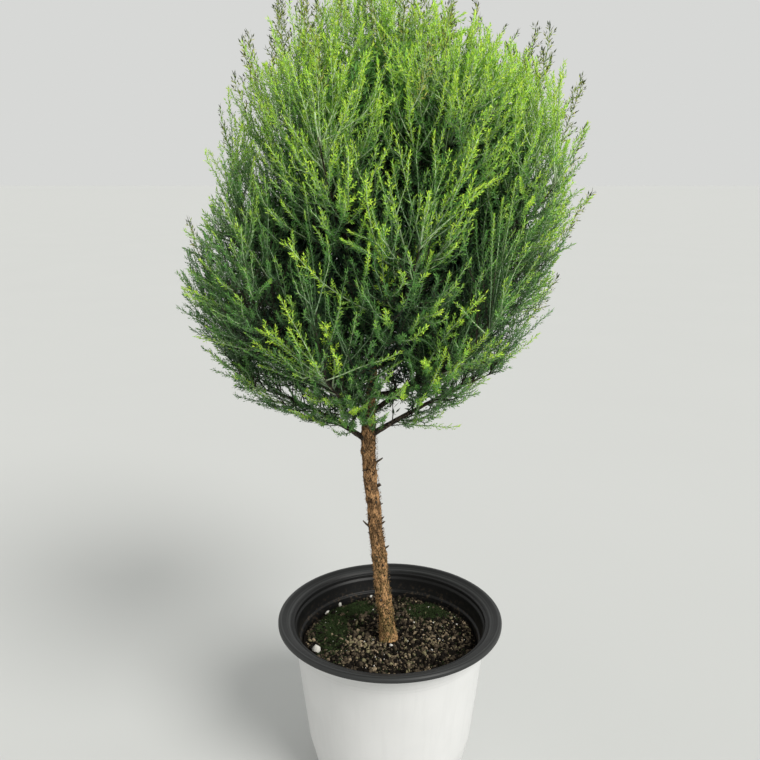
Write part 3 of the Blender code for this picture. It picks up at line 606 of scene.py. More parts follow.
def crumbly(name, color, other, roughness, scale=700.0):
    """Dull grains: two shades in patches of a grain's size, and a rough broken surface."""
    surface = Surface(name, roughness, specular_ior_level=0.06)
    place = surface.coordinates()
    patches = surface.noise(place, scale, 3.0, 0.6)
    broad = surface.noise(place, 55.0, 2.0)
    pattern = surface.ramp(patches * 0.6 + broad * 0.4, (0.36, 0.0), (0.64, 1.0))
    surface.put("Base Color", surface.mix(pattern, color, other))
    surface.put("Roughness", roughness - 0.15 * patches)
    surface.bump(surface.cells(place, scale * 2.2), 0.00018, 0.8)
    return surface.material


def bark(name, color, foot_color, foot_height):
    """Fibrous bark: long strands in the limb's own grain, furrows darkened with painted shade, pale
    worn ridges, and an olive cast towards the foot."""
    surface = Surface(name, 0.85, specular_ior_level=0.2)
    strands = surface.noise(surface.coordinates((1.0, 1.0, 0.34), "grain"), 1900.0, 5.0, 0.75)
    plates = surface.noise(surface.coordinates((1.0, 1.0, 0.45), "grain"), 420.0, 3.0)
    place = surface.coordinates()
    patches = surface.noise(place, 70.0, 3.0)
    above = (surface.height(place) - SOIL_LEVEL) / foot_height
    olive = surface.ramp(above + 0.5 * patches, (0.35, 1.0), (1.05, 0.0))
    ground = surface.mix(olive, color, foot_color)
    # Painted shade: the furrows, which are the bump's low places, are darkened almost to black.
    furrows_in_painted_shade = surface.mix(surface.ramp(strands, (0.45, 1.0), (0.515, 0.0)), ground,
                           shade_of(color, 0.05))
    worn = surface.ramp(strands * 0.55 + plates * 0.45, (0.49, 0.0), (0.58, 0.95))
    surface.put("Base Color", surface.mix(worn, furrows_in_painted_shade, shade_of(color, 3.0)))
    surface.put("Roughness", 0.92 - 0.2 * plates)
    surface.bump(strands * 0.7 + plates * 0.3, 0.00035, 1.0)
    return surface.material


def needle_green(name, color):
    """A needle's green: a little yellower or deeper from spray to spray, satin, never mirror-like."""
    surface = Surface(name, 0.5, specular_ior_level=0.35)
    place = surface.coordinates()
    drift = surface.ramp(surface.noise(place, 45.0, 2.0), (0.35, 0.0), (0.65, 1.0))
    fleck = surface.ramp(surface.noise(place, 380.0, 1.0), (0.40, 0.0), (0.62, 0.7))
    turned = surface.mix(drift, shade_of(color, 0.82), shade_of(color, 1.16))
    surface.put("Base Color", surface.mix(fleck, turned, shade_of((color[0] * 1.5, *color[1:]), 1.12)))
    surface.put("Roughness", 0.44 + 0.18 * drift)
    return surface.material


def twig_skin(name, color):
    """The skin of a thin twig: streaked along it and paler on its ridges."""
    surface = Surface(name, 0.65, specular_ior_level=0.3)
    streaks = surface.noise(surface.coordinates((1.0, 1.0, 0.3)), 900.0, 3.0)
    pattern = surface.ramp(streaks, (0.40, 0.0), (0.62, 1.0))
    surface.put("Base Color", surface.mix(pattern, shade_of(color, 0.7), shade_of(color, 1.25)))
    surface.put("Roughness", 0.55 + 0.25 * streaks)
    return surface.material


def floor_paint(settings):
    """Pale matt floor with the faintest clouding."""
    surface = Surface("pale_floor", 0.8, specular_ior_level=0.2)
    cloud = surface.noise(surface.coordinates(), 3.0)
    pale = tuple(settings.floor_color)
    surface.put("Base Color", surface.mix(cloud, pale, shade_of(pale, 0.97)))
    return surface.material


# ---- Meshes from arrays

def unit(vector):
    return vector / np.linalg.norm(vector)


def unit_rows(vectors):
    return vectors / np.maximum(np.linalg.norm(vectors, axis=-1, keepdims=True), 1e-12)


def mesh_from_arrays(name, points, *face_sets):
    """A mesh from an array of points and arrays of corner numbers, one array for each face size."""
    face_sets = [faces for faces in face_sets if len(faces)]
    corners = np.concatenate([faces.ravel() for faces in face_sets])
    sizes = np.concatenate([np.full(len(faces), faces.shape[1]) for faces in face_sets])
    mesh = bpy.data.meshes.new(name)
    mesh.vertices.add(len(points))
    mesh.vertices.foreach_set("co", points.astype(np.float32).ravel())
    mesh.loops.add(len(corners))
    mesh.loops.foreach_set("vertex_index", corners.astype(np.int32))
    mesh.polygons.add(len(sizes))
    mesh.polygons.foreach_set("loop_start", (np.cumsum(sizes) - sizes).astype(np.int32))
    mesh.update(calc_edges=True)
    if mesh.validate():
        raise ValueError(f"the arrays of {name} don't make a sound mesh")
    return mesh


def dress(name, mesh, material, nodes, smooth=True):
    """Show a mesh as a piece: it rides on the body and stands for the named solids."""
    obj = bpy.data.objects.new(name, mesh)
    bpy.context.scene.collection.objects.link(obj)
    mesh.materials.append(material)
    if smooth:
        mesh.shade_smooth()
    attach(obj, BODY)
    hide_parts(*nodes)
    return obj


def grid_faces(rows, columns, wrap_rows=False):
    """Quads of a grid counted row by row, its columns closed on themselves. They face outwards
    where the rows run down a surface whose columns turn anticlockwise seen from above."""
    row = np.arange(rows if wrap_rows else rows - 1)[:, None]
    column = np.arange(columns)[None, :]
    below = (row + 1) % rows
    beside = (column + 1) % columns
    corners = (row * columns + column, below * columns + column,
               below * columns + beside, row * columns + beside)
    return np.stack(np.broadcast_arrays(*corners), axis=-1).reshape(-1, 4)


def closed_grid(points):
    """Points and faces of a grid (rows, columns, 3) whose first and last rows are poles."""
    rows, columns, _ = points.shape
    inner = points[1:-1].reshape(-1, 3)
    ends = points[[0, -1]].mean(axis=1)
    column = np.arange(columns)
    beside = (column + 1) % columns
    last = (rows - 3) * columns
    top = np.full(columns, len(inner))
    fans = np.concatenate([np.stack([top, column, beside], axis=-1),
                           np.stack([last + column, top + 1, last + beside], axis=-1)])
    return np.concatenate([inner, ends]), grid_faces(rows - 2, columns), fans


def spokes(count):
    """Angles that share a full turn evenly."""
    return TURN * np.arange(count) / count


def turned(profile, columns):
    """Grid of a profile of (radius, height) turned about Z: (r cos a, r sin a, z)."""
    turns = spokes(columns)
    radius = profile[:, 0, None]
    height = np.broadcast_to(profile[:, 1, None], (len(profile), columns))
    return np.stack([radius * np.cos(turns), radius * np.sin(turns), height], axis=-1)


def softened(profile, cut, closed, steps=4):
    """A profile whose corners are rounded: each is replaced by the quadratic curve
    (1-t)^2 a + 2t(1-t) b + t^2 c between points `cut` away from it, or less on a short side."""
    profile = np.asarray(profile, float)
    corner = profile if closed else profile[1:-1]
    before = np.roll(profile, 1, axis=0) if closed else profile[:-2]
    after = np.roll(profile, -1, axis=0) if closed else profile[2:]
    reach = [np.minimum(cut, 0.45 * np.linalg.norm(side - corner, axis=1))[:, None]
             for side in (before, after)]
    start = (corner + unit_rows(before - corner) * reach[0])[:, None]
    end = (corner + unit_rows(after - corner) * reach[1])[:, None]
    arcs = bend(start, corner[:, None], end, np.linspace(0.0, 1.0, steps)).reshape(-1, 2)
    return arcs if closed else np.vstack([profile[:1], arcs, profile[-1:]])


def mean_of_sines(angles):
    return np.sin(angles).sum(axis=-1) / math.sqrt(angles.shape[-1] / 2)


def waves(angle, length, seed, count, turns, pitch):
    """Seamless noise round and along a limb: the mean of sines of (n a + k s + phase), where n is
    a whole number up to `turns` and k up to `pitch` radians a metre. About -1 to 1."""
    rng = np.random.default_rng(seed)
    around = rng.integers(1, turns + 1, count)
    along = rng.uniform(-pitch, pitch, count)
    phase = rng.uniform(0.0, TURN, count)
    return mean_of_sines(angle[..., None] * around + length[..., None] * along + phase)


def hills(x, y, seed, count, pitch):
    """Smooth ground: the mean of sines of (kx x + ky y + phase). About -1 to 1."""
    rng = np.random.default_rng(seed)
    pulls = rng.normal(0.0, pitch, (2, count))
    phase = rng.uniform(0.0, TURN, count)
    return mean_of_sines(x[..., None] * pulls[0] + y[..., None] * pulls[1] + phase)


def around(tangents, turns):
    """Unit directions square to the tangents and turned about them: p cos a + q sin a."""
    upright = np.abs(tangents[..., 2:]) > 0.9
    seed = np.where(upright, [1.0, 0.0, 0.0], [0.0, 0.0, 1.0])
    across = unit_rows(np.cross(tangents, seed))
    other = np.cross(tangents, across)
    return np.cos(turns)[..., None] * across + np.sin(turns)[..., None] * other


def tubes(centres, radii, sides, swell=None):
    """Closed tubes: rings of `sides` points round centres (count, rings, 3), each point at
    centre + r (p cos a + q sin a), with p and q carried along from a reference square to the bend.
    `swell` adds to the radius at each point. Also gives each point's place in the limb's grain."""
    centres = np.asarray(centres, float)
    count, rings, _ = centres.shape
    tangents = unit_rows(np.gradient(centres, axis=1))
    chord = unit_rows(centres[:, -1] - centres[:, 0])
    bow = centres[:, rings // 2] - (centres[:, 0] + centres[:, -1]) / 2
    normal = np.cross(chord, bow)
    weak = np.linalg.norm(normal, axis=1) < 1e-7
    normal[weak] = around(chord[weak], np.zeros(weak.sum()))
    p = unit_rows(np.cross(tangents, unit_rows(normal)[:, None]))
    q = np.cross(tangents, p)
    turns = spokes(sides)
    spread = radii[..., None] + (0.0 if swell is None else swell)
    ring = np.cos(turns)[:, None] * p[:, :, None] + np.sin(turns)[:, None] * q[:, :, None]
    points = centres[:, :, None] + spread[..., None] * ring
    steps = np.linalg.norm(np.diff(centres, axis=1, prepend=centres[:, :1]), axis=2)
    length = np.broadcast_to(np.cumsum(steps, axis=1)[..., None], points.shape[:3])
    round_grain = radii.mean() * np.stack(np.broadcast_arrays(
        np.cos(turns), np.sin(turns), length[..., :] / radii.mean()), axis=-1)
    sleeve = grid_faces(rings, sides)[:, ::-1]
    offset = np.arange(count)[:, None, None] * rings * sides
    ends = np.stack([np.arange(sides)[::-1], (rings - 1) * sides + np.arange(sides)])
    return (points.reshape(-1, 3), round_grain.reshape(-1, 3),
            (sleeve[None] + offset).reshape(-1, 4), (ends[None] + offset).reshape(-1, sides))


def set_grain(mesh, grain):
    layer = mesh.attributes.new("grain", "FLOAT_VECTOR", "POINT")
    layer.data.foreach_set("vector", grain.astype(np.float32).ravel())


def bark_tubes(name, centres, radii, sides, swell=None):
    """A mesh of tubes that carries their grain for the bark."""
    points, grain, sleeve, ends = tubes(centres, radii, sides, swell)
    mesh = mesh_from_arrays(name, points, sleeve, ends)
    set_grain(mesh, grain)
    return mesh


def kites(roots, directions, facing, lengths, widths, belly=0.42):
    """Four-cornered blades: root, side, tip, side. The sides stand `belly` of the way along, half
    a width out along facing x direction."""
    across = unit_rows(np.cross(facing, directions)) * widths[:, None] / 2
    middle = roots + directions * (lengths * belly)[:, None]
    tips = roots + directions * lengths[:, None]
    points = np.stack([roots, middle + across, tips, middle - across], axis=1).reshape(-1, 3)
    return points, np.arange(len(points)).reshape(-1, 4)


def scattered(counts):
    """For items with the given counts: the item that each copy belongs to, and its own number."""
    owner = np.repeat(np.arange(len(counts)), counts)
    return owner, np.arange(len(owner)) - np.repeat(np.cumsum(counts) - counts, counts)


# ---- Growth rule, as in the solids

def bend(start, middle, end, t):
    """A point on the quadratic curve from start to end, pulled towards middle."""
    t = np.asarray(t, float)[..., None]
    return (1 - t) ** 2 * start + 2 * t * (1 - t) * middle + t ** 2 * end


def station(course, t):
    """A place on a quadratic curve and the direction in which the curve goes on from there."""
    place = bend(*course, t)
    return place, unit(bend(*course, t + 0.02) - place)


def smooth_course(points, spans):
    """Points on the Catmull-Rom curve through the given rows, `spans` to each interval."""
    rows = np.asarray(points, float)
    padded = np.vstack([2 * rows[0] - rows[1], rows, 2 * rows[-1] - rows[-2]])
    before, start, end, after = (padded[i:len(rows) - 1 + i, None] for i in range(4))
    t = (np.arange(spans) / spans)[None, :, None]
    course = 0.5 * (2 * start + (end - before) * t
                    + (2 * before - 5 * start + 4 * end - after) * t ** 2
                    + (3 * start - before - 3 * end + after) * t ** 3)
    return np.vstack([course.reshape(-1, rows.shape[1]), rows[-1:]])


def trunk_course(steps):
    """Places and radii along the trunk, from the soil to its tip."""
    course = smooth_course(TRUNK_COURSE, steps)
    places = np.column_stack([course[:, 1], course[:, 2], course[:, 0] + SOIL_LEVEL + SEAT_GAP])
    places[0, :2] = places[1, :2] = course[0, 1:3]
    return places, course[:, 3]


def trunk_at(height, places, radii):
    """Places and radii of the trunk at heights above the soil."""
    z = SOIL_LEVEL + height
    x = np.interp(z, places[:, 2], places[:, 0])
    y = np.interp(z, places[:, 2], places[:, 1])
    return np.stack([x, y, z], axis=-1), np.interp(z, places[:, 2], radii)


def envelope_radius(z):
    return np.interp(z - POT_HEIGHT, ENVELOPE_HEIGHTS, ENVELOPE_WIDTHS, left=0.0, right=0.0)


def envelope_axis(z):
    return np.interp(z - POT_HEIGHT, ENVELOPE_HEIGHTS, ENVELOPE_AXIS)


def envelope_reach(points):
    """Distance from the envelope's axis, as a share of its radius there."""
    reach = np.hypot(points[..., 0] - envelope_axis(points[..., 2]), points[..., 1])
    return reach / np.maximum(envelope_radius(points[..., 2]), 1e-6)


def skin_depth(points):
    """How far points lie under the envelope: the lesser of their depths sideways and upwards."""
    widest = np.argmax(ENVELOPE_WIDTHS)
    upper, narrowing = ENVELOPE_HEIGHTS[widest:][::-1], ENVELOPE_WIDTHS[widest:][::-1]
    across = np.hypot(points[..., 0] - envelope_axis(points[..., 2]), points[..., 1])
    top = POT_HEIGHT + np.interp(across, narrowing, upper)
    return np.minimum(envelope_radius(points[..., 2]) - across, top - points[..., 2])


def envelope_targets(count):
    """Points on the envelope that share its area evenly, a golden angle apart, foot to top."""
    heights = POT_HEIGHT + np.linspace(ENVELOPE[0][0], ENVELOPE[-1][0], 200)
    widths = envelope_radius(heights)
    slant = np.hypot(np.diff(heights), np.diff(widths))
    area = np.concatenate([[0.0], np.cumsum(slant * (widths[1:] + widths[:-1]) / 2)])
    shares = np.linspace(LOWEST_SHARE, HIGHEST_SHARE, count)
    levels = np.interp(shares * area[-1], area, heights)
    turns = FIRST_AZIMUTH + GOLDEN_ANGLE * np.arange(count)
    reach = envelope_radius(levels)
    return np.column_stack([envelope_axis(levels) + reach * np.cos(turns),
                            reach * np.sin(turns), levels])


def bough_radius(number):
    return float(np.interp(number, [0, LIMB_COUNT - 1], BOUGH_RADII))


def bough_share(number):
    """Where a limb enters its mass; the trunk's own tip carries the last mass."""
    if number == LIMB_COUNT:
        return 0.0
    return float(np.interp(number, [0, LIMB_COUNT - 1], BOUGH_SHARES))


def limb_courses(places, radii):
    """For each limb, its start on the trunk, its pull and its end, as a quadratic curve."""
    source = trunk_at(FORK_HEIGHT - SOURCE_DEPTH, places, radii)[0]
    limbs = []
    for number, target in enumerate(envelope_targets(LIMB_COUNT)):
        height = FORK_HEIGHT + BOUGH_SPAN * (number / (LIMB_COUNT - 1)) ** BOUGH_BIAS
        start = trunk_at(height, places, radii)[0]
        straight = target - start
        lift = unit(target - source)
        outward = unit(straight * [1.0, 1.0, 0.0])
        middle = target - lift * np.linalg.norm(straight) * LIMB_LIFT + outward * LIMB_FLARE
        middle[2] += LIMB_ARCH * max(0.0, 1.0 - number / ARCHED_LIMBS)
        limbs.append((start, middle, target))
    tip = places[-1]
    crown_top = POT_HEIGHT + ENVELOPE[-1][0]
    top = np.array([envelope_axis(crown_top), 0.0, crown_top])
    limbs.append((tip, (tip + top) / 2 + TOP_PULL, top))
    return limbs, source


def side_direction(direction, turn, angle):
    """A direction at `angle` from the given one, turned about it."""
    side = around(direction, np.asarray(turn))
    return math.cos(angle) * direction + math.sin(angle) * side


def gaps_to_segments(points, starts, ends):
    """Distance from each point to each segment."""
    along = ends - starts
    offset = points[:, None, :] - starts[None]
    t = np.clip((offset * along[None]).sum(2) / np.maximum((along ** 2).sum(1), 1e-18), 0.0, 1.0)
    return np.linalg.norm(offset - t[..., None] * along[None], axis=2)


def segments(lines):
    """The starts and ends of the segments of all the lines."""
    return np.vstack([line[:-1] for line in lines]), np.vstack([line[1:] for line in lines])


class Crown:
    """The limbs, the spaces of the masses and the tests that keep each mass in its own."""

    def __init__(self):
        self.places, self.radii = trunk_course(TRUNK_STEPS)
        self.limbs, self.source = limb_courses(self.places, self.radii)
        shares = [bough_share(number) for number in range(len(self.limbs))]
        boughs = [bend(*limb, np.linspace(0.0, share, BOUGH_POINTS))
                  for limb, share in zip(self.limbs[:LIMB_COUNT], shares)]
        cores = [bend(*limb, np.linspace(share, 1.0, SPACE_POINTS))
                 for limb, share in zip(self.limbs, shares)]
        radii = [self.radii[:-1]]
        radii += [np.full(BOUGH_POINTS - 1, bough_radius(number)) for number in range(LIMB_COUNT)]
        self.wood = *segments([self.places, *boughs]), np.concatenate(radii)
        self.spaces = *segments(cores), np.repeat(np.arange(len(cores)), SPACE_POINTS - 1)

    def in_own_space(self, points, number):
        starts, ends, owners = self.spaces
        gaps = gaps_to_segments(points, starts, ends)
        own = owners == number
        return bool((gaps[:, ~own].min(1) - gaps[:, own].min(1) > SPACE_MARGIN).all())

    def clear_of_wood(self, points, reaches):
        starts, ends, radii = self.wood
        gaps = gaps_to_segments(points, starts, ends)
        return bool((gaps - radii[None] - reaches[:, None] > LIMB_MARGIN).all())


def apart(line, reaches, placed, spacing):
    """Whether a spray keeps clear of the side shoots of those already on its stem."""
    for other, others in placed:
        gap = np.linalg.norm(line[3:, None, :] - other[None, 3:, :], axis=2)
        if (gap < spacing * (reaches[3:, None] + others[None, 3:])).any():
            return False
    return True


def spray_line(course, reach):
    """Points along a spray's curve, and how far its side shoots stand out at each."""
    t = np.linspace(0.0, 1.0, 11)
    return bend(*course, t), SPRAY_CORE + reach * SHOOT_OUT * np.interp(t, REACH_PLACES, REACH_SHARES)


def spray_fits(crown, number, line, reaches, scale):
    tangent = unit(line[-1] - line[0])
    sides = around(tangent, np.linspace(0.0, TURN, 8, endpoint=False))
    skin = (line[:, None, :] + reaches[:, None, None] * sides[None]).reshape(-1, 3)
    if envelope_reach(line[-1]) > scale:
        return False
    return crown.in_own_space(skin, number) and crown.clear_of_wood(line[1:], reaches[1:])


def grow_twigs(crown, number, rng, placed, spacing, offset):
    """Twigs along one limb, each as the three points of its curve and its side shoots' length. A
    twig that doesn't fit is turned a little each way and then shortened, and tried again."""
    limb = crown.limbs[number]
    twigs = []
    root = bough_share(number)
    stations = root + (STEM_REACH - root) * np.linspace(*TWIG_SPAN, TWIGS_PER_MASS)
    for k, t in enumerate(stations):
        place, ahead = station(limb, t)
        turn = GOLDEN_ANGLE * k + rng.uniform(-TURN_SPREAD, TURN_SPREAD) + number + offset
        length = SPRAY_LENGTH * rng.uniform(*LENGTH_SPREAD)
        scale = rng.uniform(*TIP_SPREAD)
        for shrink, trial_turn in product(TRIAL_SIZES, TRIAL_TURNS):
            size = length * shrink
            if size < SHORTEST_SPRAY:
                break
            side = side_direction(ahead, turn + trial_turn, TWIG_ANGLE)
            middle = place + side * size / 2
            lift = unit(middle - crown.source)
            end = middle + unit((1 - TWIG_LIFT) * side + TWIG_LIFT * lift) * size / 2
            reach = SHOOT_LENGTH * (SHOOT_FLOOR + (1 - SHOOT_FLOOR) * size / SPRAY_LENGTH)
            line, reaches = spray_line((place, middle, end), reach)
            if (apart(line, reaches, placed, spacing)
                    and spray_fits(crown, number, line, reaches, scale)):
                twigs.append(((place, middle, end), reach))
                placed.append((line, reaches))
                break
    return twigs


# ---- Finer growth

def branch(crown, place, side, size, lift_share):
    """A plume's course: straight out for half its length, then bent up along the crown's lift."""
    middle = place + side * size / 2
    lift = unit(uplift(crown, middle))
    return place, middle, middle + unit((1 - lift_share) * side + lift_share * lift) * size / 2


def side_plumes(crown, course, rng):
    """The plumes that branch from a twig, kept inside the envelope by shortening them."""
    course = np.array(course)
    length = np.linalg.norm(course[2] - course[0])
    plumes = []
    turn = rng.uniform(0.0, TURN)
    for k, share in enumerate(SIDE_PLACES):
        place, ahead = station(course, share)
        side = side_direction(ahead, turn + GOLDEN_ANGLE * k, SIDE_ANGLE)
        for shrink in TRIAL_SIZES:
            size = length * (SIDE_LENGTH - SIDE_LESS * share) * shrink * rng.uniform(0.9, 1.1)
            plume = branch(crown, place, side, size, SIDE_LIFT)
            if skin_depth(plume[2]) >= np.interp(plume[2][2], SHADE_SPAN, SIDE_DEPTHS):
                plumes.append(plume)
                break
    return plumes


def is_inside(place):
    """Whether a place is deep enough in the crown for the coarse plumes that close it."""
    low, high = INNER_LEVELS
    least = np.interp(place[2], SHADE_SPAN, INNER_DEPTHS)
    return skin_depth(place) >= least and low < place[2] - POT_HEIGHT < high


def inner_plumes(crown, number, rng):
    """Short plumes along a limb, a golden angle apart, each with its rank: coarse where they are
    deep in the crown, fine near the fork, and none elsewhere."""
    limb = crown.limbs[number]
    plumes = []
    for k, t in enumerate(np.linspace(*INNER_SPAN, INNER_COUNT)):
        place, ahead = station(limb, t)
        turn = GOLDEN_ANGLE * k + rng.uniform(-TURN_SPREAD, TURN_SPREAD)
        side = side_direction(ahead, turn, INNER_ANGLE)
        for shrink in TRIAL_SIZES:
            size = INNER_LENGTH * rng.uniform(*LENGTH_SPREAD) * shrink * (0.5 + t)
            plume = branch(crown, place, side, size, TWIG_LIFT)
            if is_inside(plume[2]):
                plumes.append((plume, INNER))
                break
            if t < FORK_SPAN and skin_depth(plume[2]) >= SIDE_DEPTHS[0]:
                plumes.append((plume, SIDE))
                break
    return plumes


def along_limbs(crown, first, last, count):
    """Places along every limb, from which plumes may spring."""
    return np.concatenate([bend(*limb, np.linspace(first, last, count)) for limb in crown.limbs])


def along_plumes(courses, stations):
    return np.concatenate([bend(*np.array(course), stations) for course in courses])


def nearest(anchors, place, weights=(1.0, 1.0, 1.0)):
    return anchors[np.argmin(np.linalg.norm((anchors - place) * weights, axis=1))]


def uplift(crown, place):
    """The crown's direction of growth at a place, turned up as the finer growth is."""
    return unit(place - crown.source) + UPRIGHT * UP


def accent_plumes(crown):
    """The plumes that stand out in front. Each springs from the nearest point of a limb, passes
    its foot, and ends on the envelope: y = -share sqrt(radius^2 - (x - axis)^2)."""
    anchors = along_limbs(crown, 0.1, 0.75, 40)
    plumes = []
    for foot_x, foot_z, tip_x, tip_z, share in ACCENTS:
        spots = []
        for x, z, depth in ((foot_x, foot_z, share * ACCENT_DEPTH), (tip_x, tip_z, share)):
            across = x - envelope_axis(z)
            y = -math.sqrt(max(envelope_radius(z) ** 2 - across ** 2, 0.0)) * depth
            spots.append(np.array([x, y, z]))
        foot, tip = spots
        plumes.append((nearest(anchors, foot), foot * (1 - ACCENT_BEND) + tip * ACCENT_BEND, tip))
    return plumes


def filler_plumes(crown, courses):
    """Plumes for the crown's hollows, with their ranks: each seeded place inside the envelope with
    no plume near it gets one, which springs from the nearest limb below it and rises past it."""
    rng = np.random.default_rng(SEED + 5)
    stations = np.linspace(0.0, 1.0, 6)
    lines = along_plumes(courses, stations)
    anchors = along_limbs(crown, 0.0, 0.8, 40)
    low, high = POT_HEIGHT + np.array(FILLER_LEVELS)
    plumes = []
    for share, turn, level in rng.random((FILLER_TRIALS, 3)):
        z = low + (high - low) * level
        reach = envelope_radius(z) * math.sqrt(share)
        place = np.array([envelope_axis(z) + reach * math.cos(TURN * turn),
                          reach * math.sin(TURN * turn), z])
        deep = is_inside(place)
        if not deep and skin_depth(place) < np.interp(z, SHADE_SPAN, SIDE_DEPTHS) + FILLER_INSET:
            continue
        if np.linalg.norm(lines - place, axis=1).min() < FILLER_GAPS[0 if deep else 1]:
            continue
        below = anchors[anchors[:, 2] < z - FILLER_RISE]
        root = nearest(below, place, (FILLER_STEEP, FILLER_STEEP, 1.0))
        tip = place + unit(uplift(crown, place)) * FILLER_TIP
        plume = (root, (root + tip) / 2 + unit(place - root) * FILLER_BOW, tip)
        plumes.append((plume, INNER if deep else SIDE))
        lines = np.vstack([lines, bend(*plume, stations)])
    return plumes


def spike_plumes(crown, courses):
    """Spikes that stand out of the crown: those named, which stand near the plane through its axis,
    and others a golden angle apart round its top. Each springs from the plume nearest to its foot."""
    rng = np.random.default_rng(SEED + 6)
    anchors = along_plumes(courses, np.linspace(0.1, 0.9, 9))
    x, z = np.array(SPIKES).T
    tips = [np.column_stack([x, rng.uniform(*SPIKE_OFF, len(x)), z])]
    level = POT_HEIGHT + np.linspace(*SPIKE_SPAN, SPIKE_COUNT) + rng.uniform(-0.01, 0.01, SPIKE_COUNT)
    turn = GOLDEN_ANGLE * np.arange(SPIKE_COUNT)
    reach = envelope_radius(level) * rng.uniform(0.96, 1.02, SPIKE_COUNT)
    tips.append(np.column_stack([envelope_axis(level) + reach * np.cos(turn),
                                 reach * np.sin(turn), level + 0.004]))
    plumes = []
    for tip in np.vstack(tips):
        ahead = unit(uplift(crown, tip) + rng.normal(0.0, 0.08, 3))
        root = nearest(anchors, tip - ahead * SPIKE_FOOT * rng.uniform(0.85, 1.25))
        sway = around(ahead, rng.uniform(0.0, 6.3)) * SPIKE_SWAY
        plumes.append((root, tip - ahead * np.linalg.norm(tip - root) * SPIKE_PULL + sway, tip))
    return plumes


def low_plumes(crown):
    """Long twigs low in the crown: each springs from the limb nearest to the middle between the
    limbs' source and its tip, and sags a little."""
    anchors = along_limbs(crown, 0.05, 0.7, 30)
    plumes = []
    for tip in np.array(LOW_TWIGS):
        root = nearest(anchors, crown.source * 0.5 + tip * 0.5)
        plumes.append((root, (root + tip) / 2 - LOW_SAG * UP, tip))
    return plumes


@lru_cache(maxsize=1)
def grown_crown():
    """The crown and all its plumes: their courses (count, 3, 3), and their ranks."""
    crown = Crown()
    ranked = [(plume, ACCENT) for plume in accent_plumes(crown)]
    ranked += [(plume, TWIG) for plume in low_plumes(crown)]
    for number, limb in enumerate(crown.limbs):
        end_spray = bend(*limb, [STEM_REACH - END_SPRAY_OVERLAP, (STEM_REACH + 1.0) / 2, 1.0])
        twigs = [(tuple(end_spray), SHOOT_LENGTH)]
        placed = [spray_line(*twigs[0])]
        rng = np.random.default_rng(SEED + number)
        twigs += grow_twigs(crown, number, rng, placed, SPRAY_SPACING, 0.0)
        rng = np.random.default_rng(SEED + FILL_SEED + number)
        twigs += grow_twigs(crown, number, rng, placed, FILL_SPACING, FILL_TURN)
        for course, _ in twigs:
            ranked.append((course, TWIG))
            ranked += [(plume, SIDE) for plume in side_plumes(crown, course, rng)]
        ranked += inner_plumes(crown, number, rng)
    ranked += filler_plumes(crown, [plume for plume, _ in ranked])
    outer = [plume for plume, rank in ranked if rank in (TWIG, SIDE)]
    ranked += [(plume, SPIKE) for plume in spike_plumes(crown, outer)]
    return crown, np.array([plume for plume, _ in ranked]), np.array([rank for _, rank in ranked])


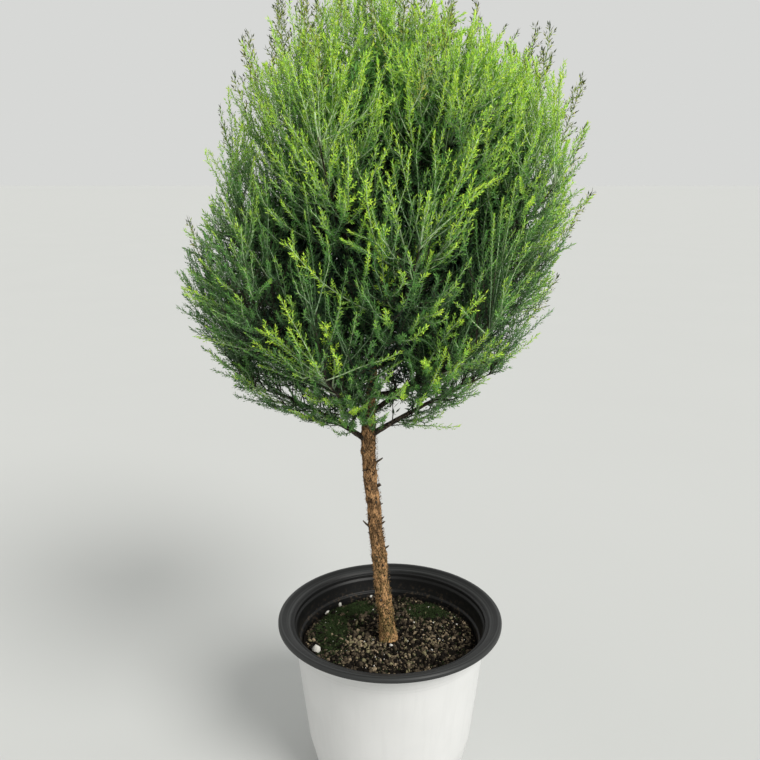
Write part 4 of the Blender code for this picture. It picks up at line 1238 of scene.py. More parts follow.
class Plumes:
    """All plumes as arrays, each axis a quadratic curve with a slight sideways wave."""

    def __init__(self, crown, courses, ranks):
        rng = np.random.default_rng(SEED + 1)
        count = len(courses)
        self.crown = crown
        self.courses = courses
        self.ranks = ranks
        self.lengths = np.linalg.norm(courses[:, 2] - courses[:, 0], axis=1)
        special = [ranks == INNER, ranks == ACCENT, ranks == SPIKE]
        self.coarse = np.select(special, [INNER_COARSE, ACCENT_COARSE, SPIKE_COARSE], 1.0)
        bold = np.where(ranks == ACCENT, ACCENT_FEATHER, self.coarse)
        bold = bold * rng.uniform(0.85, 1.3, count)
        self.reaches = FEATHER * np.clip(self.lengths / FULL_PLUME, 0.6, 1.0) * bold
        self.reaches[ranks == SPIKE] = SPIKE_TUFT
        self.phase = rng.uniform(0.0, TURN, count)
        self.sway = around(unit_rows(courses[:, 2] - courses[:, 0]), rng.uniform(0.0, 6.3, count))
        self.mood = MOOD[0] * rng.beta(0.9, 4.8, count) - MOOD[1]
        # Painted highlights of the accents and spikes.
        self.painted_highlight = np.select(special, [0.0, ACCENT_LIGHT, SPIKE_LIGHT], 0.0)
        # Painted shade of the plumes inside the crown.
        self.painted_exposure = np.where(ranks == INNER, INNER_PAINTED_SHADE, 1.0)
        outer = (skin_depth(courses[:, 2]) < BUD_DEPTH) & (courses[:, 2, 2] > BUD_HEIGHT)
        self.slim = (rng.random(count) < SLIM_SHARE) & (ranks == SIDE)
        may_bud = outer & (rng.random(count) < BUD_SHARE) & np.isin(ranks, (TWIG, SIDE))
        self.budded = may_bud | (ranks == SPIKE)

    def points(self, owner, t):
        """Places on the plumes' axes: the quadratic curve plus w sin(2 pi n t + phase) t."""
        curve = bend(*(self.courses[owner, k] for k in range(3)), t)
        wave = WAVE * np.sin(TURN * WAVE_TURNS * t + self.phase[owner]) * t
        return curve + wave[..., None] * self.sway[owner]

    def tangents(self, owner, t):
        return unit_rows(self.points(owner, t + 0.01) - self.points(owner, t - 0.01))

    def brightness(self, owner, t, places):
        """How light the needles are, their tone and painted light together: painted shade deeper under
        the envelope, on the left and on inside plumes, and lighter at the top and at a plume's tip, as
        paler new growth and painted light both.
        """
        height = np.interp(places[:, 2], SHADE_SPAN, [0.0, 1.0])
        reach = np.interp(height, [0.0, 1.0], LIT_DEPTH)
        # Painted shade: needles are darker the deeper they lie under the envelope.
        near = np.clip(1.15 - skin_depth(places) / reach, 0.0, 1.0)
        light = near * (LIGHT[0] + LIGHT[1] * t ** 1.8 + LIGHT[2] * height ** 1.2)
        light = (light + near * self.mood[owner]) * np.maximum(self.painted_exposure[owner], 0.8 * height)
        # Painted shade on the left side, away from the key light.
        light = light * np.interp(places[:, 0], SIDE_SHADE[:2], [SIDE_SHADE[2], 1.0])
        light = light + self.painted_highlight[owner] * (0.5 + 0.5 * t)
        return np.clip(light, 0.0, BRIGHTEST)


def thinned(plumes, owner, number, t):
    """Of shoots or needles on the plumes, every other one where they are hidden deep in the crown,
    with their sizes: those that stay there are larger."""
    deep = (skin_depth(plumes.points(owner, t)) > HIDDEN_DEPTH) & (plumes.ranks[owner] != INNER)
    kept = ~deep | (number % 2 == 0)
    scale = plumes.coarse[owner] * np.where(deep, HIDDEN_COARSE, 1.0)
    return owner[kept], number[kept], t[kept], scale[kept]


def leaning(rng, tangent, radial, t, course, spread=LEAN_SPREAD):
    """Directions c tangent + s radial, with c and s the cosine and sine of a lean that follows the
    course of places and degrees, and strays from it at random."""
    lean = np.radians(np.interp(t, *course) + rng.normal(0.0, spread, len(t)))[:, None]
    return np.cos(lean) * tangent + np.sin(lean) * radial


def needle_sizes(rng, settings, coarse, lengths, widths):
    """Lengths and widths of needles, drawn from the given shares of the settings."""
    length = settings.needle_length * rng.uniform(*lengths, len(coarse)) * coarse
    return length, settings.needle_width * rng.uniform(*widths, len(coarse)) * coarse ** THICKER


def side_shoots(plumes, settings):
    """Side shoots in a spiral up every plume: course (count, 3, 3), length and brightness. Their
    length swells from the plume's foot to a third of its way up and then dwindles to the tip."""
    rng = np.random.default_rng(SEED + 2)
    spacing = settings.shoot_spacing * plumes.coarse ** 0.6
    spacing = np.where(plumes.ranks == SPIKE, SPIKE_STEP, spacing)
    counts = np.where(plumes.slim, 0, np.maximum(3, (plumes.lengths / spacing).astype(int)))
    owner, number = scattered(counts)
    t = 0.10 + 0.88 * (number + rng.uniform(0.3, 0.7, len(owner))) / counts[owner]
    owner, number, t, scale = thinned(plumes, owner, number, t)
    root = plumes.points(owner, t)
    tangent = plumes.tangents(owner, t)
    radial = around(tangent, GOLDEN_ANGLE * number + plumes.phase[owner]
                    + rng.normal(0.0, 0.15, len(owner)))
    swell = np.interp(t, *SHOOT_SWELL)
    length = plumes.reaches[owner] * swell * rng.uniform(*SHOOT_SPREAD, len(owner))
    outward = leaning(rng, tangent, radial, t, SHOOT_LEAN, 5.0)
    lift = unit_rows(root - plumes.crown.source)
    middle = root + outward * (length / 2)[:, None]
    on, up, along = SHOOT_PULLS
    tip = middle + unit_rows(on * outward + up * lift + along * tangent) * (length / 2)[:, None]
    light = plumes.brightness(owner, t, tip) + rng.normal(0.0, 0.03, len(owner))
    spike = plumes.ranks[owner] == SPIKE
    some = (t > BUD_START) & (rng.random(len(owner)) < BUD_SOME)
    dark = plumes.budded[owner] & ((t > BUD_ENDS[0]) | some | spike)
    light = np.where(spike, OLIVE, np.clip(light, 0.0, BRIGHTEST))
    return np.stack([root, middle, tip], axis=1), length, light, scale, dark


def needles_on_shoots(courses, lengths, light, coarse, dark, settings):
    """Needles in a spiral up every side shoot, leaning forwards."""
    rng = np.random.default_rng(SEED + 3)
    spacing = settings.needle_spacing * coarse ** THICKER
    counts = np.clip(np.round(lengths / spacing).astype(int), 3, 12)
    owner, number = scattered(counts)
    t = 0.22 + 0.78 * (number + 0.8) / counts[owner]
    start, middle, end = (courses[owner, k] for k in range(3))
    place = bend(start, middle, end, t)
    tangent = unit_rows((1 - t)[:, None] * (middle - start) + t[:, None] * (end - middle))
    radial = around(tangent, GOLDEN_ANGLE * number + owner * 1.7)
    direction = leaning(rng, tangent, radial, t, SHOOT_NEEDLE_LEAN)
    length, width = needle_sizes(rng, settings, coarse[owner], (0.70, 1.05), (0.85, 1.15))
    light = np.where(dark[owner] & (t > BUD_ENDS[2]), BUD, light[owner])
    return place, direction, radial, length, width, light


def needles_on_plumes(plumes, settings):
    """Needles on the plumes' own axes, from near the foot up to a tuft at the tip."""
    rng = np.random.default_rng(SEED + 4)
    step = np.where(plumes.slim, SLIM_STEP, PLUME_STEP)
    spacing = settings.needle_spacing * step * plumes.coarse ** THICKER
    counts = np.maximum(10, (plumes.lengths / spacing).astype(int))
    owner, number = scattered(counts)
    t = 0.08 + 0.92 * ((number + 0.9) / counts[owner]) ** 0.8
    owner, number, t, coarse = thinned(plumes, owner, number, t)
    place = plumes.points(owner, t)
    tangent = plumes.tangents(owner, t)
    radial = around(tangent, GOLDEN_ANGLE * number)
    direction = leaning(rng, tangent, radial, t, PLUME_NEEDLE_LEAN)
    length, width = needle_sizes(rng, settings, coarse, (1.15, 1.5), (0.9, 1.2))
    light = np.where(plumes.ranks[owner] == SPIKE, OLIVE, plumes.brightness(owner, t, place))
    light = np.where(plumes.budded[owner] & (t > BUD_ENDS[1]), BUD, light)
    return place, direction, radial, length, width, light


def color_by_tone_and_painted_light(share, settings):
    """Deep, middle and tip colours blended along a share from 0 to 1, the needles' tone and painted
    light: the deep colour is painted shade.
    """
    stops = np.array([settings.painted_shade_color[:], settings.middle_color[:], settings.tip_color[:]])
    return tuple(np.interp(share, [0.0, 0.45, 1.0], channel) for channel in stops.T)


# ---- Pot

def wall_radius(depth):
    depths, radii = np.array(WALL_COURSE).T
    return float(np.interp(depth, depths, radii))


def liner_outer_radius(depth):
    return wall_radius(depth) - WALL_THICKNESS - SEAT_GAP


def liner_inner_radius(depth):
    ledge = LEDGE_WIDTH if depth > LEDGE_DEPTH else 0.0
    return liner_outer_radius(depth) - LINER_THICKNESS - ledge


def wall_profile():
    """The white wall from its floor, up the inside, down the outside and under the foot."""
    step = POT_HEIGHT - WALL_COURSE[-1][0]
    foot_inner = FOOT_RADIUS - WALL_THICKNESS
    outer = [(radius, POT_HEIGHT - depth) for depth, radius in WALL_COURSE]
    floor = [(0.0, BASE_THICKNESS), (foot_inner, BASE_THICKNESS),
             (foot_inner, step + WALL_THICKNESS)]
    inner = [(outer[-1][0] - WALL_THICKNESS, step + WALL_THICKNESS)]
    inner += [(radius - WALL_THICKNESS, z) for radius, z in (outer[-2], outer[0])]
    foot = [(FOOT_TOP_RADIUS, step), (FOOT_RADIUS, 0.0), (0.0, 0.0)]
    return floor + inner + outer + foot


def liner_profile():
    """The black inner wall: up its inside, over the rim and lip, and down its outside."""
    foot_depth = WALL_COURSE[-1][0] - WALL_THICKNESS - SEAT_GAP
    waist_depth = WALL_COURSE[-2][0]
    under_rim = WALL_COURSE[0][0] - SEAT_GAP
    depths = [foot_depth, waist_depth, LEDGE_DEPTH + LEDGE_SLOPE, LEDGE_DEPTH, RIM_INNER_DROP]
    inner = [(liner_inner_radius(depth), POT_HEIGHT - depth) for depth in depths]
    rim = [(RIM_RADIUS - inset, POT_HEIGHT - depth) for inset, depth in RIM_COURSE]
    rim.append((RIM_RADIUS - LIP_THICKNESS, POT_HEIGHT - under_rim + LINER_THICKNESS))
    top_depth, top_radius = WALL_COURSE[0]
    under = [(top_radius + RIM_SHOULDER, POT_HEIGHT - under_rim),
             (liner_outer_radius(top_depth), POT_HEIGHT - under_rim)]
    outer = [(liner_outer_radius(depth), POT_HEIGHT - depth) for depth in (waist_depth, foot_depth)]
    return inner + rim + under + outer


def slot_boxes():
    """The drain slots' cutter: a ring of boxes across the corner of the foot."""
    side = np.array([-1.0, 1.0])
    x, y, z = (grid.ravel() for grid in np.meshgrid(side, side, side, indexing="ij"))
    radial = np.where(x < 0, SLOT_INNER_RADIUS, RIM_RADIUS)
    across = y * SLOT_WIDTH / 2
    turns = TURN * (np.arange(SLOT_COUNT)[:, None] + 0.5) / SLOT_COUNT
    points = np.stack([radial * np.cos(turns) - across * np.sin(turns),
                       radial * np.sin(turns) + across * np.cos(turns),
                       np.broadcast_to(z * SLOT_HEIGHT, (SLOT_COUNT, 8))], axis=-1)
    box = np.array([[0, 1, 3, 2], [4, 6, 7, 5], [0, 4, 5, 1], [2, 3, 7, 6], [0, 2, 6, 4],
                    [1, 5, 7, 3]])
    faces = box[None] + 8 * np.arange(SLOT_COUNT)[:, None, None]
    return mesh_from_arrays("drain_slots", points.reshape(-1, 3), faces.reshape(-1, 4))


def cut(obj, cutter_mesh):
    """Take the cutter's shape out of a piece and leave no modifier on it."""
    cutter = bpy.data.objects.new("cutter", cutter_mesh)
    bpy.context.scene.collection.objects.link(cutter)
    modifier = obj.modifiers.new("Cut", "BOOLEAN")
    modifier.operation = "DIFFERENCE"
    modifier.object = cutter
    depsgraph = bpy.context.evaluated_depsgraph_get()
    mesh = bpy.data.meshes.new_from_object(obj.evaluated_get(depsgraph))
    obj.modifiers.clear()
    obj.data = mesh
    bpy.data.objects.remove(cutter, do_unlink=True)


class CONIFER_OT_pot(Operator):
    """Build the white wall with its drain slots and the black liner with its rim"""
    bl_idname = "conifer.pot"
    bl_label = "Pot"

    def execute(self, context):
        settings = context.scene.conifer.pot
        profile = softened(wall_profile(), settings.corner, False)
        mesh = mesh_from_arrays("pot_wall_shell", *closed_grid(turned(profile, settings.columns)))
        wall = dress("pot_wall_shell", mesh, white_plastic(settings), ["pot_wall"])
        cut(wall, slot_boxes())
        wall.data.set_sharp_from_angle(angle=math.radians(50.0))
        profile = softened(liner_profile(), settings.corner, True)
        points = turned(profile, settings.columns).reshape(-1, 3)
        faces = grid_faces(len(profile), settings.columns, wrap_rows=True)
        dress("pot_liner_shell", mesh_from_arrays("pot_liner_shell", points, faces),
              black_plastic(settings), ["pot_liner"])
        return {"FINISHED"}


# ---- Soil

def ground_height(x, y, relief):
    """The soil's surface: level at the stem and the wall, hollow between, and uneven."""
    r = np.hypot(x, y)
    hollow = np.interp(r, [0.0, 0.012, 0.034, SOIL_RADIUS], [0.0, 0.0, SOIL_HOLLOW, 0.0])
    rough = 0.7 * hills(x, y, 11, 24, 150.0) + 0.3 * hills(x, y, 12, 30, 520.0)
    return SOIL_LEVEL - hollow - GROUND_SINK + relief * rough


def soil_body(settings):
    """The soil: rings out to the wall that follow the ground, then its side and floor."""
    columns = 240
    radii = np.linspace(0.0, SOIL_RADIUS - 0.0004, 96)
    turns = spokes(columns)
    x = radii[:, None] * np.cos(turns)
    y = radii[:, None] * np.sin(turns)
    top = np.stack([x, y, ground_height(x, y, settings.relief)], axis=-1)
    step = POT_HEIGHT - WALL_COURSE[-1][0] + WALL_THICKNESS
    foot_radius = FOOT_RADIUS - WALL_THICKNESS - SEAT_GAP
    depths = (0.030, WALL_COURSE[-2][0], WALL_COURSE[-1][0] - WALL_THICKNESS)
    side = [(liner_inner_radius(depth) - SEAT_GAP, POT_HEIGHT - depth) for depth in depths]
    side += [(foot_radius, step), (foot_radius, SOIL_FLOOR), (0.0, SOIL_FLOOR)]
    return closed_grid(np.concatenate([top, turned(np.array(side), columns)]))


def random_turns(rng, count):
    """Rotation matrices from random unit quaternions."""
    w, x, y, z = unit_rows(rng.normal(size=(count, 4))).T
    return np.stack([1 - 2 * (y * y + z * z), 2 * (x * y - w * z), 2 * (x * z + w * y),
                     2 * (x * y + w * z), 1 - 2 * (x * x + z * z), 2 * (y * z - w * x),
                     2 * (x * z - w * y), 2 * (y * z + w * x), 1 - 2 * (x * x + y * y)],
                    axis=-1).reshape(count, 3, 3)


def icosahedron():
    """Its twelve corners from the golden ratio, and its twenty faces from the corners' gaps."""
    ratio = (1 + math.sqrt(5)) / 2
    flat = np.array([(0.0, a, b * ratio) for a in (-1, 1) for b in (-1, 1)])
    corners = unit_rows(np.concatenate([np.roll(flat, k, axis=1) for k in range(3)]))
    triples = np.array([(a, b, c) for a in range(12) for b in range(a + 1, 12)
                        for c in range(b + 1, 12)])
    side = corners[triples]
    near = np.linalg.norm(side - np.roll(side, 1, axis=1), axis=2).max(1) < 1.1
    faces = triples[near]
    outward = np.linalg.det(corners[faces]) > 0
    faces[~outward] = faces[~outward][:, ::-1]
    return corners, faces


def grains(rng, places, sizes, flatness):
    """Broken grains: an icosahedron stretched along its axes by up to a third, flattened, its
    corners moved in and out by up to a quarter, and turned at random."""
    corners, faces = icosahedron()
    count = len(places)
    stretch = rng.uniform(0.7, 1.35, (count, 1, 3)) * np.array([1.0, 1.0, flatness])
    jitter = rng.uniform(0.74, 1.24, (count, 12, 1))
    local = corners[None] * jitter * stretch * sizes[:, None, None] / 2
    points = np.einsum("nij,nkj->nki", random_turns(rng, count), local) + places[:, None, :]
    return points.reshape(-1, 3), (faces[None] + 12 * np.arange(count)[:, None, None]).reshape(-1, 3)


def on_the_ground(rng, count, relief, clear, patches=(), loyalty=0.0):
    """Random places on the soil between the stem and the wall; a share of them, the loyalty,
    gathers round the given patches."""
    r = np.sqrt(rng.uniform((0.0068 / SOIL_RADIUS) ** 2, 1.0, count)) * (SOIL_RADIUS - clear)
    a = rng.uniform(0.0, TURN, count)
    x, y = r * np.cos(a), r * np.sin(a)
    if patches:
        chosen = np.array(patches)[rng.integers(0, len(patches), count)]
        gathered = rng.random(count) < loyalty
        x = np.where(gathered, chosen[:, 0] + chosen[:, 2] * rng.normal(0.0, 0.6, count), x)
        y = np.where(gathered, chosen[:, 1] + chosen[:, 3] * rng.normal(0.0, 0.6, count), y)
    r = np.hypot(x, y)
    kept = (r < SOIL_RADIUS - clear) & (r > STEM_CLEARANCE)
    x, y = x[kept], y[kept]
    return np.column_stack([x, y, ground_height(x, y, relief)])


def off_the_moss(rng, places):
    """Which places lie off the moss, or are among the few that show through it."""
    x, y, wide, deep = np.array(MOSS_PATCHES).T
    away = ((places[:, :1] - x) / wide) ** 2 + ((places[:, 1:2] - y) / deep) ** 2
    return (away.min(axis=1) > 0.9) | (rng.random(len(places)) < 0.22)


def grain_sizes(rng, count, least, spread, small, large):
    """Sizes of grains from the least up, drawn by the beta law: mostly small ones."""
    return least + spread * rng.beta(small, large, count)


def build_grains(name, material, rng, places, sizes, flatness):
    """A piece of grains, each lifted so that it lies on the ground and not half in it."""
    places = places + UP * (sizes * GRAIN_LIFT)[:, None]
    mesh = mesh_from_arrays(name, *grains(rng, places, sizes, flatness))
    return dress(name, mesh, material, ["soil"], smooth=False)


class CONIFER_OT_soil(Operator):
    """Build the soil's body and its uneven ground"""
    bl_idname = "conifer.soil"
    bl_label = "Soil"

    def execute(self, context):
        settings = context.scene.conifer.soil
        peat = tuple(settings.peat_color)
        mesh = mesh_from_arrays("soil_ground", *soil_body(settings))
        dress("soil_ground", mesh, crumbly("damp_peat", peat, shade_of(peat, 2.0), 0.95, 420.0),
              ["soil"])
        return {"FINISHED"}


class CONIFER_OT_grains(Operator):
    """Scatter crumbs of peat, chips of bark and white grains on the soil"""
    bl_idname = "conifer.grains"
    bl_label = "Grains"

    def execute(self, context):
        settings = context.scene.conifer.soil
        rng = np.random.default_rng(SEED + 20)
        peat = tuple(settings.peat_color)
        chips = tuple(settings.bark_color)
        white = tuple(settings.perlite_color)
        places = on_the_ground(rng, settings.crumbs, settings.relief, 0.0018)
        places = places[off_the_moss(rng, places)]
        split = rng.random(len(places)) < PEAT_SHARE
        sizes = grain_sizes(rng, len(places), *CRUMB_SIZES)
        build_grains("peat_crumbs", crumbly("peat", peat, shade_of(peat, 3.2), 0.95), rng,
                     places[split], sizes[split], 0.8)
        build_grains("brown_crumbs", crumbly("brown_fibre", shade_of(peat, 4.4),
                                             shade_of(chips, 0.66), 0.9), rng,
                     places[~split], sizes[~split], 0.7)
        places = on_the_ground(rng, settings.bark_bits, settings.relief, 0.003, BARK_PATCHES, 0.72)
        sizes = grain_sizes(rng, len(places), *CHIP_SIZES)
        pink = rng.random(len(places)) < PINK_SHARE
        build_grains("bark_chips", crumbly("bark_chip", shade_of(chips, 0.55),
                                           shade_of(chips, 2.2), 0.85),
                     rng, places[pink], sizes[pink], 0.45)
        build_grains("straw_chips", crumbly("straw_chip", *STRAW_COLORS, 0.8), rng,
                     places[~pink], sizes[~pink], 0.5)
        places = on_the_ground(rng, settings.perlite, settings.relief, 0.003, BARK_PATCHES, 0.3)
        sizes = grain_sizes(rng, len(places), *PERLITE_SIZES)
        x, y, large = np.array(LARGE_GRAINS).T
        ground = ground_height(x, y, settings.relief)
        places = np.vstack([places, np.column_stack([x, y, ground])])
        sizes = np.concatenate([sizes, large])
        build_grains("perlite_grains", crumbly("perlite", white, shade_of(white, 0.78), 0.8, 900.0),
                     rng, places, sizes, 0.85)
        return {"FINISHED"}


class CONIFER_OT_moss(Operator):
    """Grow tufts of moss in their patches on the soil"""
    bl_idname = "conifer.moss"
    bl_label = "Moss"

    def execute(self, context):
        settings = context.scene.conifer.soil
        rng = np.random.default_rng(SEED + 30)
        tufts = on_the_ground(rng, settings.moss // TUFT, settings.relief, 0.004, MOSS_PATCHES, 0.9)
        owner, _ = scattered(np.full(len(tufts), TUFT))
        count = len(owner)
        outward = unit_rows(rng.normal(size=(count, 3)) * [1.0, 1.0, 0.25] + 0.9 * UP)
        roots = tufts[owner] + rng.normal(0.0, 0.0007, (count, 3)) * [1.0, 1.0, 0.3]
        roots[:, 2] += 0.0003
        facing = around(outward, rng.uniform(0.0, TURN, count))
        length = rng.uniform(*BLADE_LENGTHS, count)
        width = rng.uniform(*BLADE_WIDTHS, count)
        mesh = mesh_from_arrays("moss_tufts", *kites(roots, outward, facing, length, width))
        moss = tuple(settings.moss_color)
        dress("moss_tufts", mesh, crumbly("moss", moss, shade_of(moss, 2.2), 0.85, 260.0),
              ["soil"], smooth=False)
        return {"FINISHED"}


# ---- Wood

def bark_swell(angle, length, radius, settings, seed):
    """How far bark stands out: ridges 1 - |n| of stretched noise, and lumps."""
    ridges = 1 - np.abs(waves(angle, length, seed, 26, 15, 620.0))
    lumps = waves(angle, length, seed + 1, 12, 3, 210.0)
    share = np.minimum(1.0, radius / STEM_RADIUS)[..., None]
    return settings.relief * share * (0.9 * ridges + 0.75 * lumps - 0.4)


def scar_bumps(angle, length, rng, count, reach):
    """Rounded scars: the sum of exp(-(d / w)^2) over random places, d measured on the bark."""
    places = rng.uniform(0.0, 1.0, (2, count)) * np.array([[TURN], [reach]])
    wide = rng.uniform(0.0009, 0.0019, count)
    turn = np.angle(np.exp(1j * (angle[..., None] - places[0])))
    away = np.hypot(turn * STEM_RADIUS, length[..., None] - places[1]) / wide
    return (np.exp(-away ** 2) * rng.uniform(0.0003, 0.0009, count)).sum(-1)


def stem_mesh(settings):
    """The trunk from just under the ground to its tip, with flare, furrows and scars."""
    places, radii = trunk_course(STEM_STEPS)
    below = places[:1] - STEM_SINK * UP
    places = np.vstack([below, places])
    radii = np.concatenate([radii[:1], radii])
    angle = np.broadcast_to(spokes(STEM_SIDES), (len(places), STEM_SIDES))
    length = np.broadcast_to((places[:, 2] - SOIL_LEVEL)[:, None], angle.shape)
    rng = np.random.default_rng(SEED + 40)
    swell = bark_swell(angle, length, radii, settings, SEED + 41)
    scars = scar_bumps(angle, length, rng, SCAR_COUNT, SCAR_REACH)
    swell = swell + scars * (radii[:, None] > SCAR_LEAST)
    return bark_tubes("stem_bark", places[None], radii[None], STEM_SIDES, swell[None])


def limb_mesh(crown, settings):
    """Every limb from inside the trunk through its mass to where its end plume takes over."""
    share = np.linspace(0.0, 1.0, LIMB_RINGS)
    centres, radii = [], []
    for number, limb in enumerate(crown.limbs):
        root = bough_share(number)
        t = share * STEM_REACH
        centres.append(bend(*limb, t))
        first = bough_radius(number) if number < LIMB_COUNT else TRUNK_COURSE[-1][3]
        at_mass = first * BOUGH_TAPER if number < LIMB_COUNT else first
        radii.append(np.interp(t, [0.0, max(root, 1e-3), 0.5, STEM_REACH],
                               [first, at_mass, *LIMB_RADII]))
    centres, radii = np.array(centres), np.array(radii)
    angle = np.broadcast_to(spokes(LIMB_SIDES), radii.shape + (LIMB_SIDES,))
    length = np.broadcast_to((share * 0.2)[None, :, None], angle.shape)
    swell = bark_swell(angle, length, radii, settings, SEED + 43)
    return bark_tubes("limb_bark", centres, radii, LIMB_SIDES, swell)


def spur_mesh(crown, settings):
    """Stubs of pruned shoots where the solids have them, and small pegs of shed ones."""
    rng = np.random.default_rng(SEED + 44)
    count = settings.spurs
    heights = rng.uniform(*SPUR_SPAN, count)
    azimuths = rng.uniform(0.0, TURN, count)
    lengths = rng.uniform(*SPUR_LENGTHS, count)
    stubs = np.array(STUBS)
    heights = np.concatenate([stubs[:, 0], heights])
    azimuths = np.concatenate([np.radians(stubs[:, 1]), azimuths])
    lengths = np.concatenate([stubs[:, 2], lengths])
    centre, radius = trunk_at(heights, crown.places, crown.radii)
    ahead = unit_rows(np.column_stack([np.cos(azimuths), np.sin(azimuths),
                                       rng.uniform(0.3, 0.8, len(heights))]))
    start = centre + ahead * (radius * 0.6)[:, None]
    end = centre + ahead * (radius + lengths)[:, None]
    end[:, 2] += lengths * 0.25
    middle = (start + end) / 2 - UP * (lengths * 0.12)[:, None]
    course = bend(start[:, None], middle[:, None], end[:, None], np.linspace(0.0, 1.0, 5))
    thick = np.where(lengths > LONG_SPUR, *SPUR_RADII)
    return bark_tubes("stem_spurs", course, thick[:, None] * np.array(SPUR_TAPER), 7)


def flake_mesh(crown, settings):
    """Loose strips of bark that lie along the stem and lift a little at one end."""
    rng = np.random.default_rng(SEED + 45)
    count = settings.flakes
    centre, radius = trunk_at(rng.uniform(*FLAKE_SPAN, count), crown.places, crown.radii)
    turn = rng.uniform(0.0, TURN, count)
    out = np.column_stack([np.cos(turn), np.sin(turn), np.zeros(count)])
    root = centre + out * (radius + 0.0001)[:, None]
    along = np.where(rng.random(count) < 0.6, 1.0, -1.0)[:, None] * UP
    sideways = np.cross(out, UP) * rng.normal(0.0, 0.25, count)[:, None]
    direction = unit_rows(along + sideways + out * rng.uniform(0.10, 1.6, count)[:, None])
    length = rng.uniform(*FLAKE_LENGTHS, count)
    width = rng.uniform(*FLAKE_WIDTHS, count)
    points, faces = kites(root, direction, out, length, width, 0.35)
    mesh = mesh_from_arrays("bark_flakes", points, faces)
    set_grain(mesh, points)
    return mesh


class CONIFER_OT_stem(Operator):
    """Build the stem's bark with its spurs and loose flakes"""
    bl_idname = "conifer.stem"
    bl_label = "Stem"

    def execute(self, context):
        settings = context.scene.conifer.wood
        crown = grown_crown()[0]
        skin = bark("stem_bark", tuple(settings.bark_color), tuple(settings.foot_color), 0.11)
        dress("stem_bark", stem_mesh(settings), skin, ["trunk"])
        dead = bark("dead_wood", shade_of(settings.twig_color, 1.6), tuple(settings.foot_color), 0.03)
        dress("stem_spurs", spur_mesh(crown, settings), dead, ["trunk"])
        dress("bark_flakes", flake_mesh(crown, settings), skin, ["trunk"], smooth=False)
        return {"FINISHED"}


class CONIFER_OT_limbs(Operator):
    """Build every limb from the stem through its mass of foliage"""
    bl_idname = "conifer.limbs"
    bl_label = "Limbs"

    def execute(self, context):
        settings = context.scene.conifer.wood
        color = tuple(settings.twig_color)
        skin = bark("limb_bark", color, color, 0.11)
        dress("limb_bark", limb_mesh(grown_crown()[0], settings), skin, BOUGHS)
        return {"FINISHED"}


# ---- Foliage

@lru_cache(maxsize=1)
def plumes():
    return Plumes(*grown_crown())


def axis_tubes(owner, start, end):
    """Three-sided tubes along a stretch of the given plumes' axes, thinning from foot to tip."""
    t = start[:, None] + (end - start)[:, None] * np.linspace(0.0, 1.0, 5)
    centres = plumes().points(np.repeat(owner[:, None], t.shape[1], axis=1), t)
    ranks = plumes().ranks[owner]
    thick = AXIS_RADIUS * np.select([ranks == TWIG, ranks == ACCENT], [1.0, 1.25], 0.72)
    points, _, sleeve, ends = tubes(centres, thick[:, None] * (1.0 - 0.72 * t), 3)
    return points, sleeve, ends


class CONIFER_OT_twigs(Operator):
    """Build the twigs of every plume, woody inside the crown and green outside, their skins chosen by
    tone and painted light
    """
    bl_idname = "conifer.twigs"
    bl_label = "Twigs"

    def execute(self, context):
        settings = context.scene.conifer.foliage
        wood = context.scene.conifer.wood
        owner = np.tile(np.arange(len(plumes().courses)), 2)
        start = np.repeat([0.0, AXIS_SPLIT], len(owner) // 2)
        end = np.where(start == 0.0, AXIS_SPLIT, AXIS_END)
        middle = (start + end) / 2
        light = plumes().brightness(owner, middle, plumes().points(owner, middle))
        tip = np.array(settings.tip_color)
        green, pale, brightest = TWIG_LIGHTS
        skins = (("woody_twigs", shade_of(wood.twig_color, 1.0), 0.0, green),
                 ("green_twigs", tuple(tip * [0.50, 0.42, 2.8]), green, pale),
                 ("pale_twigs", tuple(tip * [1.0, 0.74, 5.0]), pale, brightest))
        for name, color, low, high in skins:
            group = (light >= low) & (light < high)
            self.build(name, color, axis_tubes(owner[group], start[group], end[group]))
        courses, _, light, _, _ = side_shoots(plumes(), settings)
        # Painted shade: shoots below SHOOT_LIGHT, and the spikes', get the dark skin; the others get
        # the brighter one.
        skins = (("deep_shoots", tuple(tip * [0.16, 0.18, 0.6]), OLIVE, SHOOT_LIGHT),
                 ("bright_shoots", tuple(tip * [0.8, 0.75, 2.0]), SHOOT_LIGHT, brightest))
        for name, color, low, high in skins:
            group = (light >= low) & (light < high)
            root, tip = courses[group, 0], courses[group, 2]
            along = tip - root
            length = np.linalg.norm(along, axis=1)
            ahead = unit_rows(along)
            facing = around(ahead, np.arange(len(root)) * 1.0)
            width = np.full(len(root), SHOOT_WIDTH)
            self.build(name, color, kites(root, ahead, facing, length, width, 0.1))
        return {"FINISHED"}

    def build(self, name, color, arrays):
        mesh = mesh_from_arrays(name, *arrays)
        dress(name, mesh, twig_skin(name, color), MASSES)


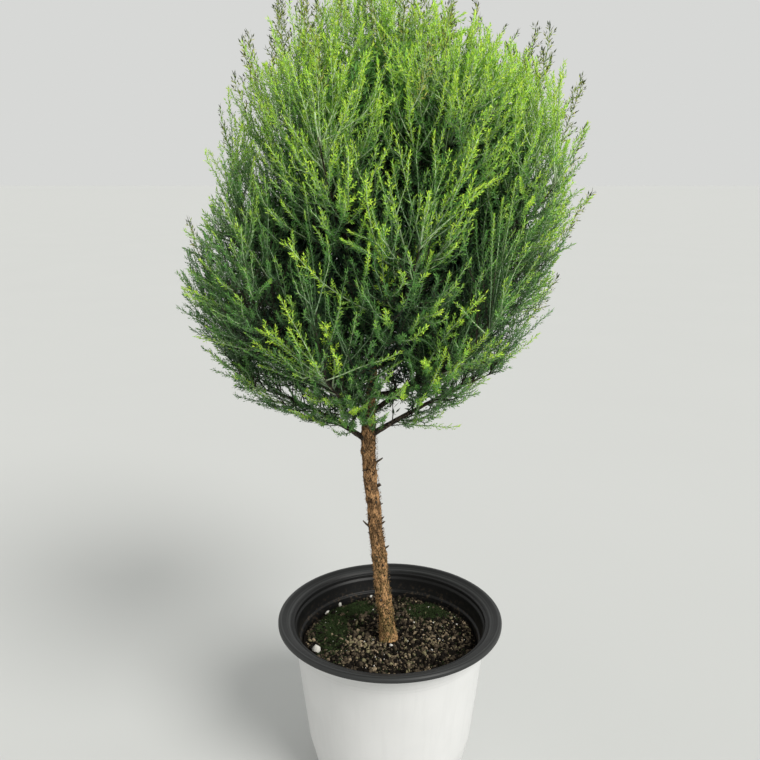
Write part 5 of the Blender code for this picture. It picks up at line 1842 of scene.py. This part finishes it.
class CONIFER_OT_needles(Operator):
    """Clothe every plume and side shoot in needles, sorted into colours by their tone and painted
    light
    """
    bl_idname = "conifer.needles"
    bl_label = "Needles"

    def execute(self, context):
        settings = context.scene.conifer.foliage
        fields = [np.concatenate(pair) for pair in zip(
            needles_on_shoots(*side_shoots(plumes(), settings), settings),
            needles_on_plumes(plumes(), settings))]
        light = fields.pop()
        groups = [("bud_needles", tuple(settings.bud_color), light == BUD),
                  ("olive_needles", tuple(settings.olive_color), light == OLIVE)]
        steps = np.quantile(light[light >= 0.0], np.linspace(0.0, 1.0, TONE_AND_LIGHT_STEPS + 1) ** 0.8)
        steps[-1] = 1.0
        for number, (low, high) in enumerate(zip(steps, steps[1:])):
            groups.append((f"needles_tone_and_painted_light_{number + 1}", color_by_tone_and_painted_light((low + high) / 2, settings),
                           (light >= low) & (light < high)))
        for name, color, chosen in groups:
            mesh = mesh_from_arrays(name, *kites(*(field[chosen] for field in fields)))
            dress(name, mesh, needle_green(name, color), MASSES, smooth=False)
        return {"FINISHED"}


# ---- Stage

def room_light(tree, strength):
    """Light from all round: palest behind and to the right, weaker and warmer on the left."""
    nodes = Nodes(tree)
    place = nodes.node("ShaderNodeTexCoord", {}, (), "Generated")
    turned_place = nodes.node("ShaderNodeMapping", {}, (("Vector", place),
                                                        ("Rotation", (0.0, 0.0, -ROOM_TURN))))
    across = nodes.node("ShaderNodeSeparateXYZ", {}, (("Vector", turned_place),), "X")
    shade = nodes.node("ShaderNodeMapRange", {}, (("Value", across), ("From Min", ROOM_SPAN[0]),
                                                  ("From Max", ROOM_SPAN[1])))
    background = tree.nodes["Background"]
    nodes.feed(background.inputs["Color"], nodes.mix(shade, ROOM_DARK, ROOM_PALE))
    nodes.feed(background.inputs["Strength"], strength)


class CONIFER_OT_stage(Operator):
    """Set the floor, the lights and the camera"""
    bl_idname = "conifer.stage"
    bl_label = "Stage"

    def execute(self, context):
        settings = context.scene.conifer.stage
        scene = context.scene
        corners = FLOOR_REACH * np.array([(-1, -1, 0), (1, -1, 0), (1, 1, 0), (-1, 1, 0)])
        mesh = mesh_from_arrays("floor", corners - FLOOR_DROP * UP, np.arange(4)[None])
        mesh.materials.append(floor_paint(settings))
        floor = bpy.data.objects.new("floor", mesh)
        scene.collection.objects.link(floor)
        light = bpy.data.lights.new("key_light", "SUN")
        light.energy = settings.key_light
        light.angle = KEY_ANGLE
        light.color = KEY_COLOR
        key = bpy.data.objects.new("key_light", light)
        key.rotation_euler = KEY_TURN
        scene.collection.objects.link(key)
        world = bpy.data.worlds.new("pale_room")
        world.use_nodes = True
        room_light(world.node_tree, settings.sky)
        scene.world = world
        camera = bpy.data.cameras.new("camera")
        camera.sensor_width = SENSOR
        camera.lens = settings.lens
        camera.clip_start = 0.01
        viewer = bpy.data.objects.new("camera", camera)
        viewer.location = settings.place
        viewer.rotation_euler = (math.pi / 2 - settings.pitch, 0.0, 0.0)
        scene.collection.objects.link(viewer)
        scene.camera = viewer
        scene.view_settings.view_transform = "Standard"
        return {"FINISHED"}


# ---- Add-on

class CONIFER_PT_sidebar(Panel):
    """Settings and builders of the potted conifer"""
    bl_idname = "CONIFER_PT_sidebar"
    bl_label = "Potted Conifer"
    bl_space_type = "VIEW_3D"
    bl_region_type = "UI"
    bl_category = "Conifer"

    def draw(self, context):
        settings = context.scene.conifer
        for operator in OPERATORS:
            self.layout.operator(operator.bl_idname)
        for group in (settings.pot, settings.soil, settings.wood, settings.foliage, settings.stage):
            box = self.layout.box()
            for name in group.__annotations__:
                box.prop(group, name)


OPERATORS = (
    CONIFER_OT_stage,
    CONIFER_OT_pot,
    CONIFER_OT_soil,
    CONIFER_OT_grains,
    CONIFER_OT_moss,
    CONIFER_OT_stem,
    CONIFER_OT_limbs,
    CONIFER_OT_twigs,
    CONIFER_OT_needles,
)
CLASSES = (PotSettings, SoilSettings, WoodSettings, FoliageSettings, StageSettings,
           ConiferSettings, *OPERATORS, CONIFER_PT_sidebar)


def register():
    for cls in CLASSES:
        bpy.utils.register_class(cls)
    bpy.types.Scene.conifer = PointerProperty(type=ConiferSettings)


def unregister():
    del bpy.types.Scene.conifer
    for cls in reversed(CLASSES):
        bpy.utils.unregister_class(cls)


def main():
    register()
    bpy.ops.conifer.stage()
    bpy.ops.conifer.pot()
    bpy.ops.conifer.soil()
    bpy.ops.conifer.grains()
    bpy.ops.conifer.moss()
    bpy.ops.conifer.stem()
    bpy.ops.conifer.limbs()
    bpy.ops.conifer.twigs()
    bpy.ops.conifer.needles()


if __name__ == "__main__":
    main()
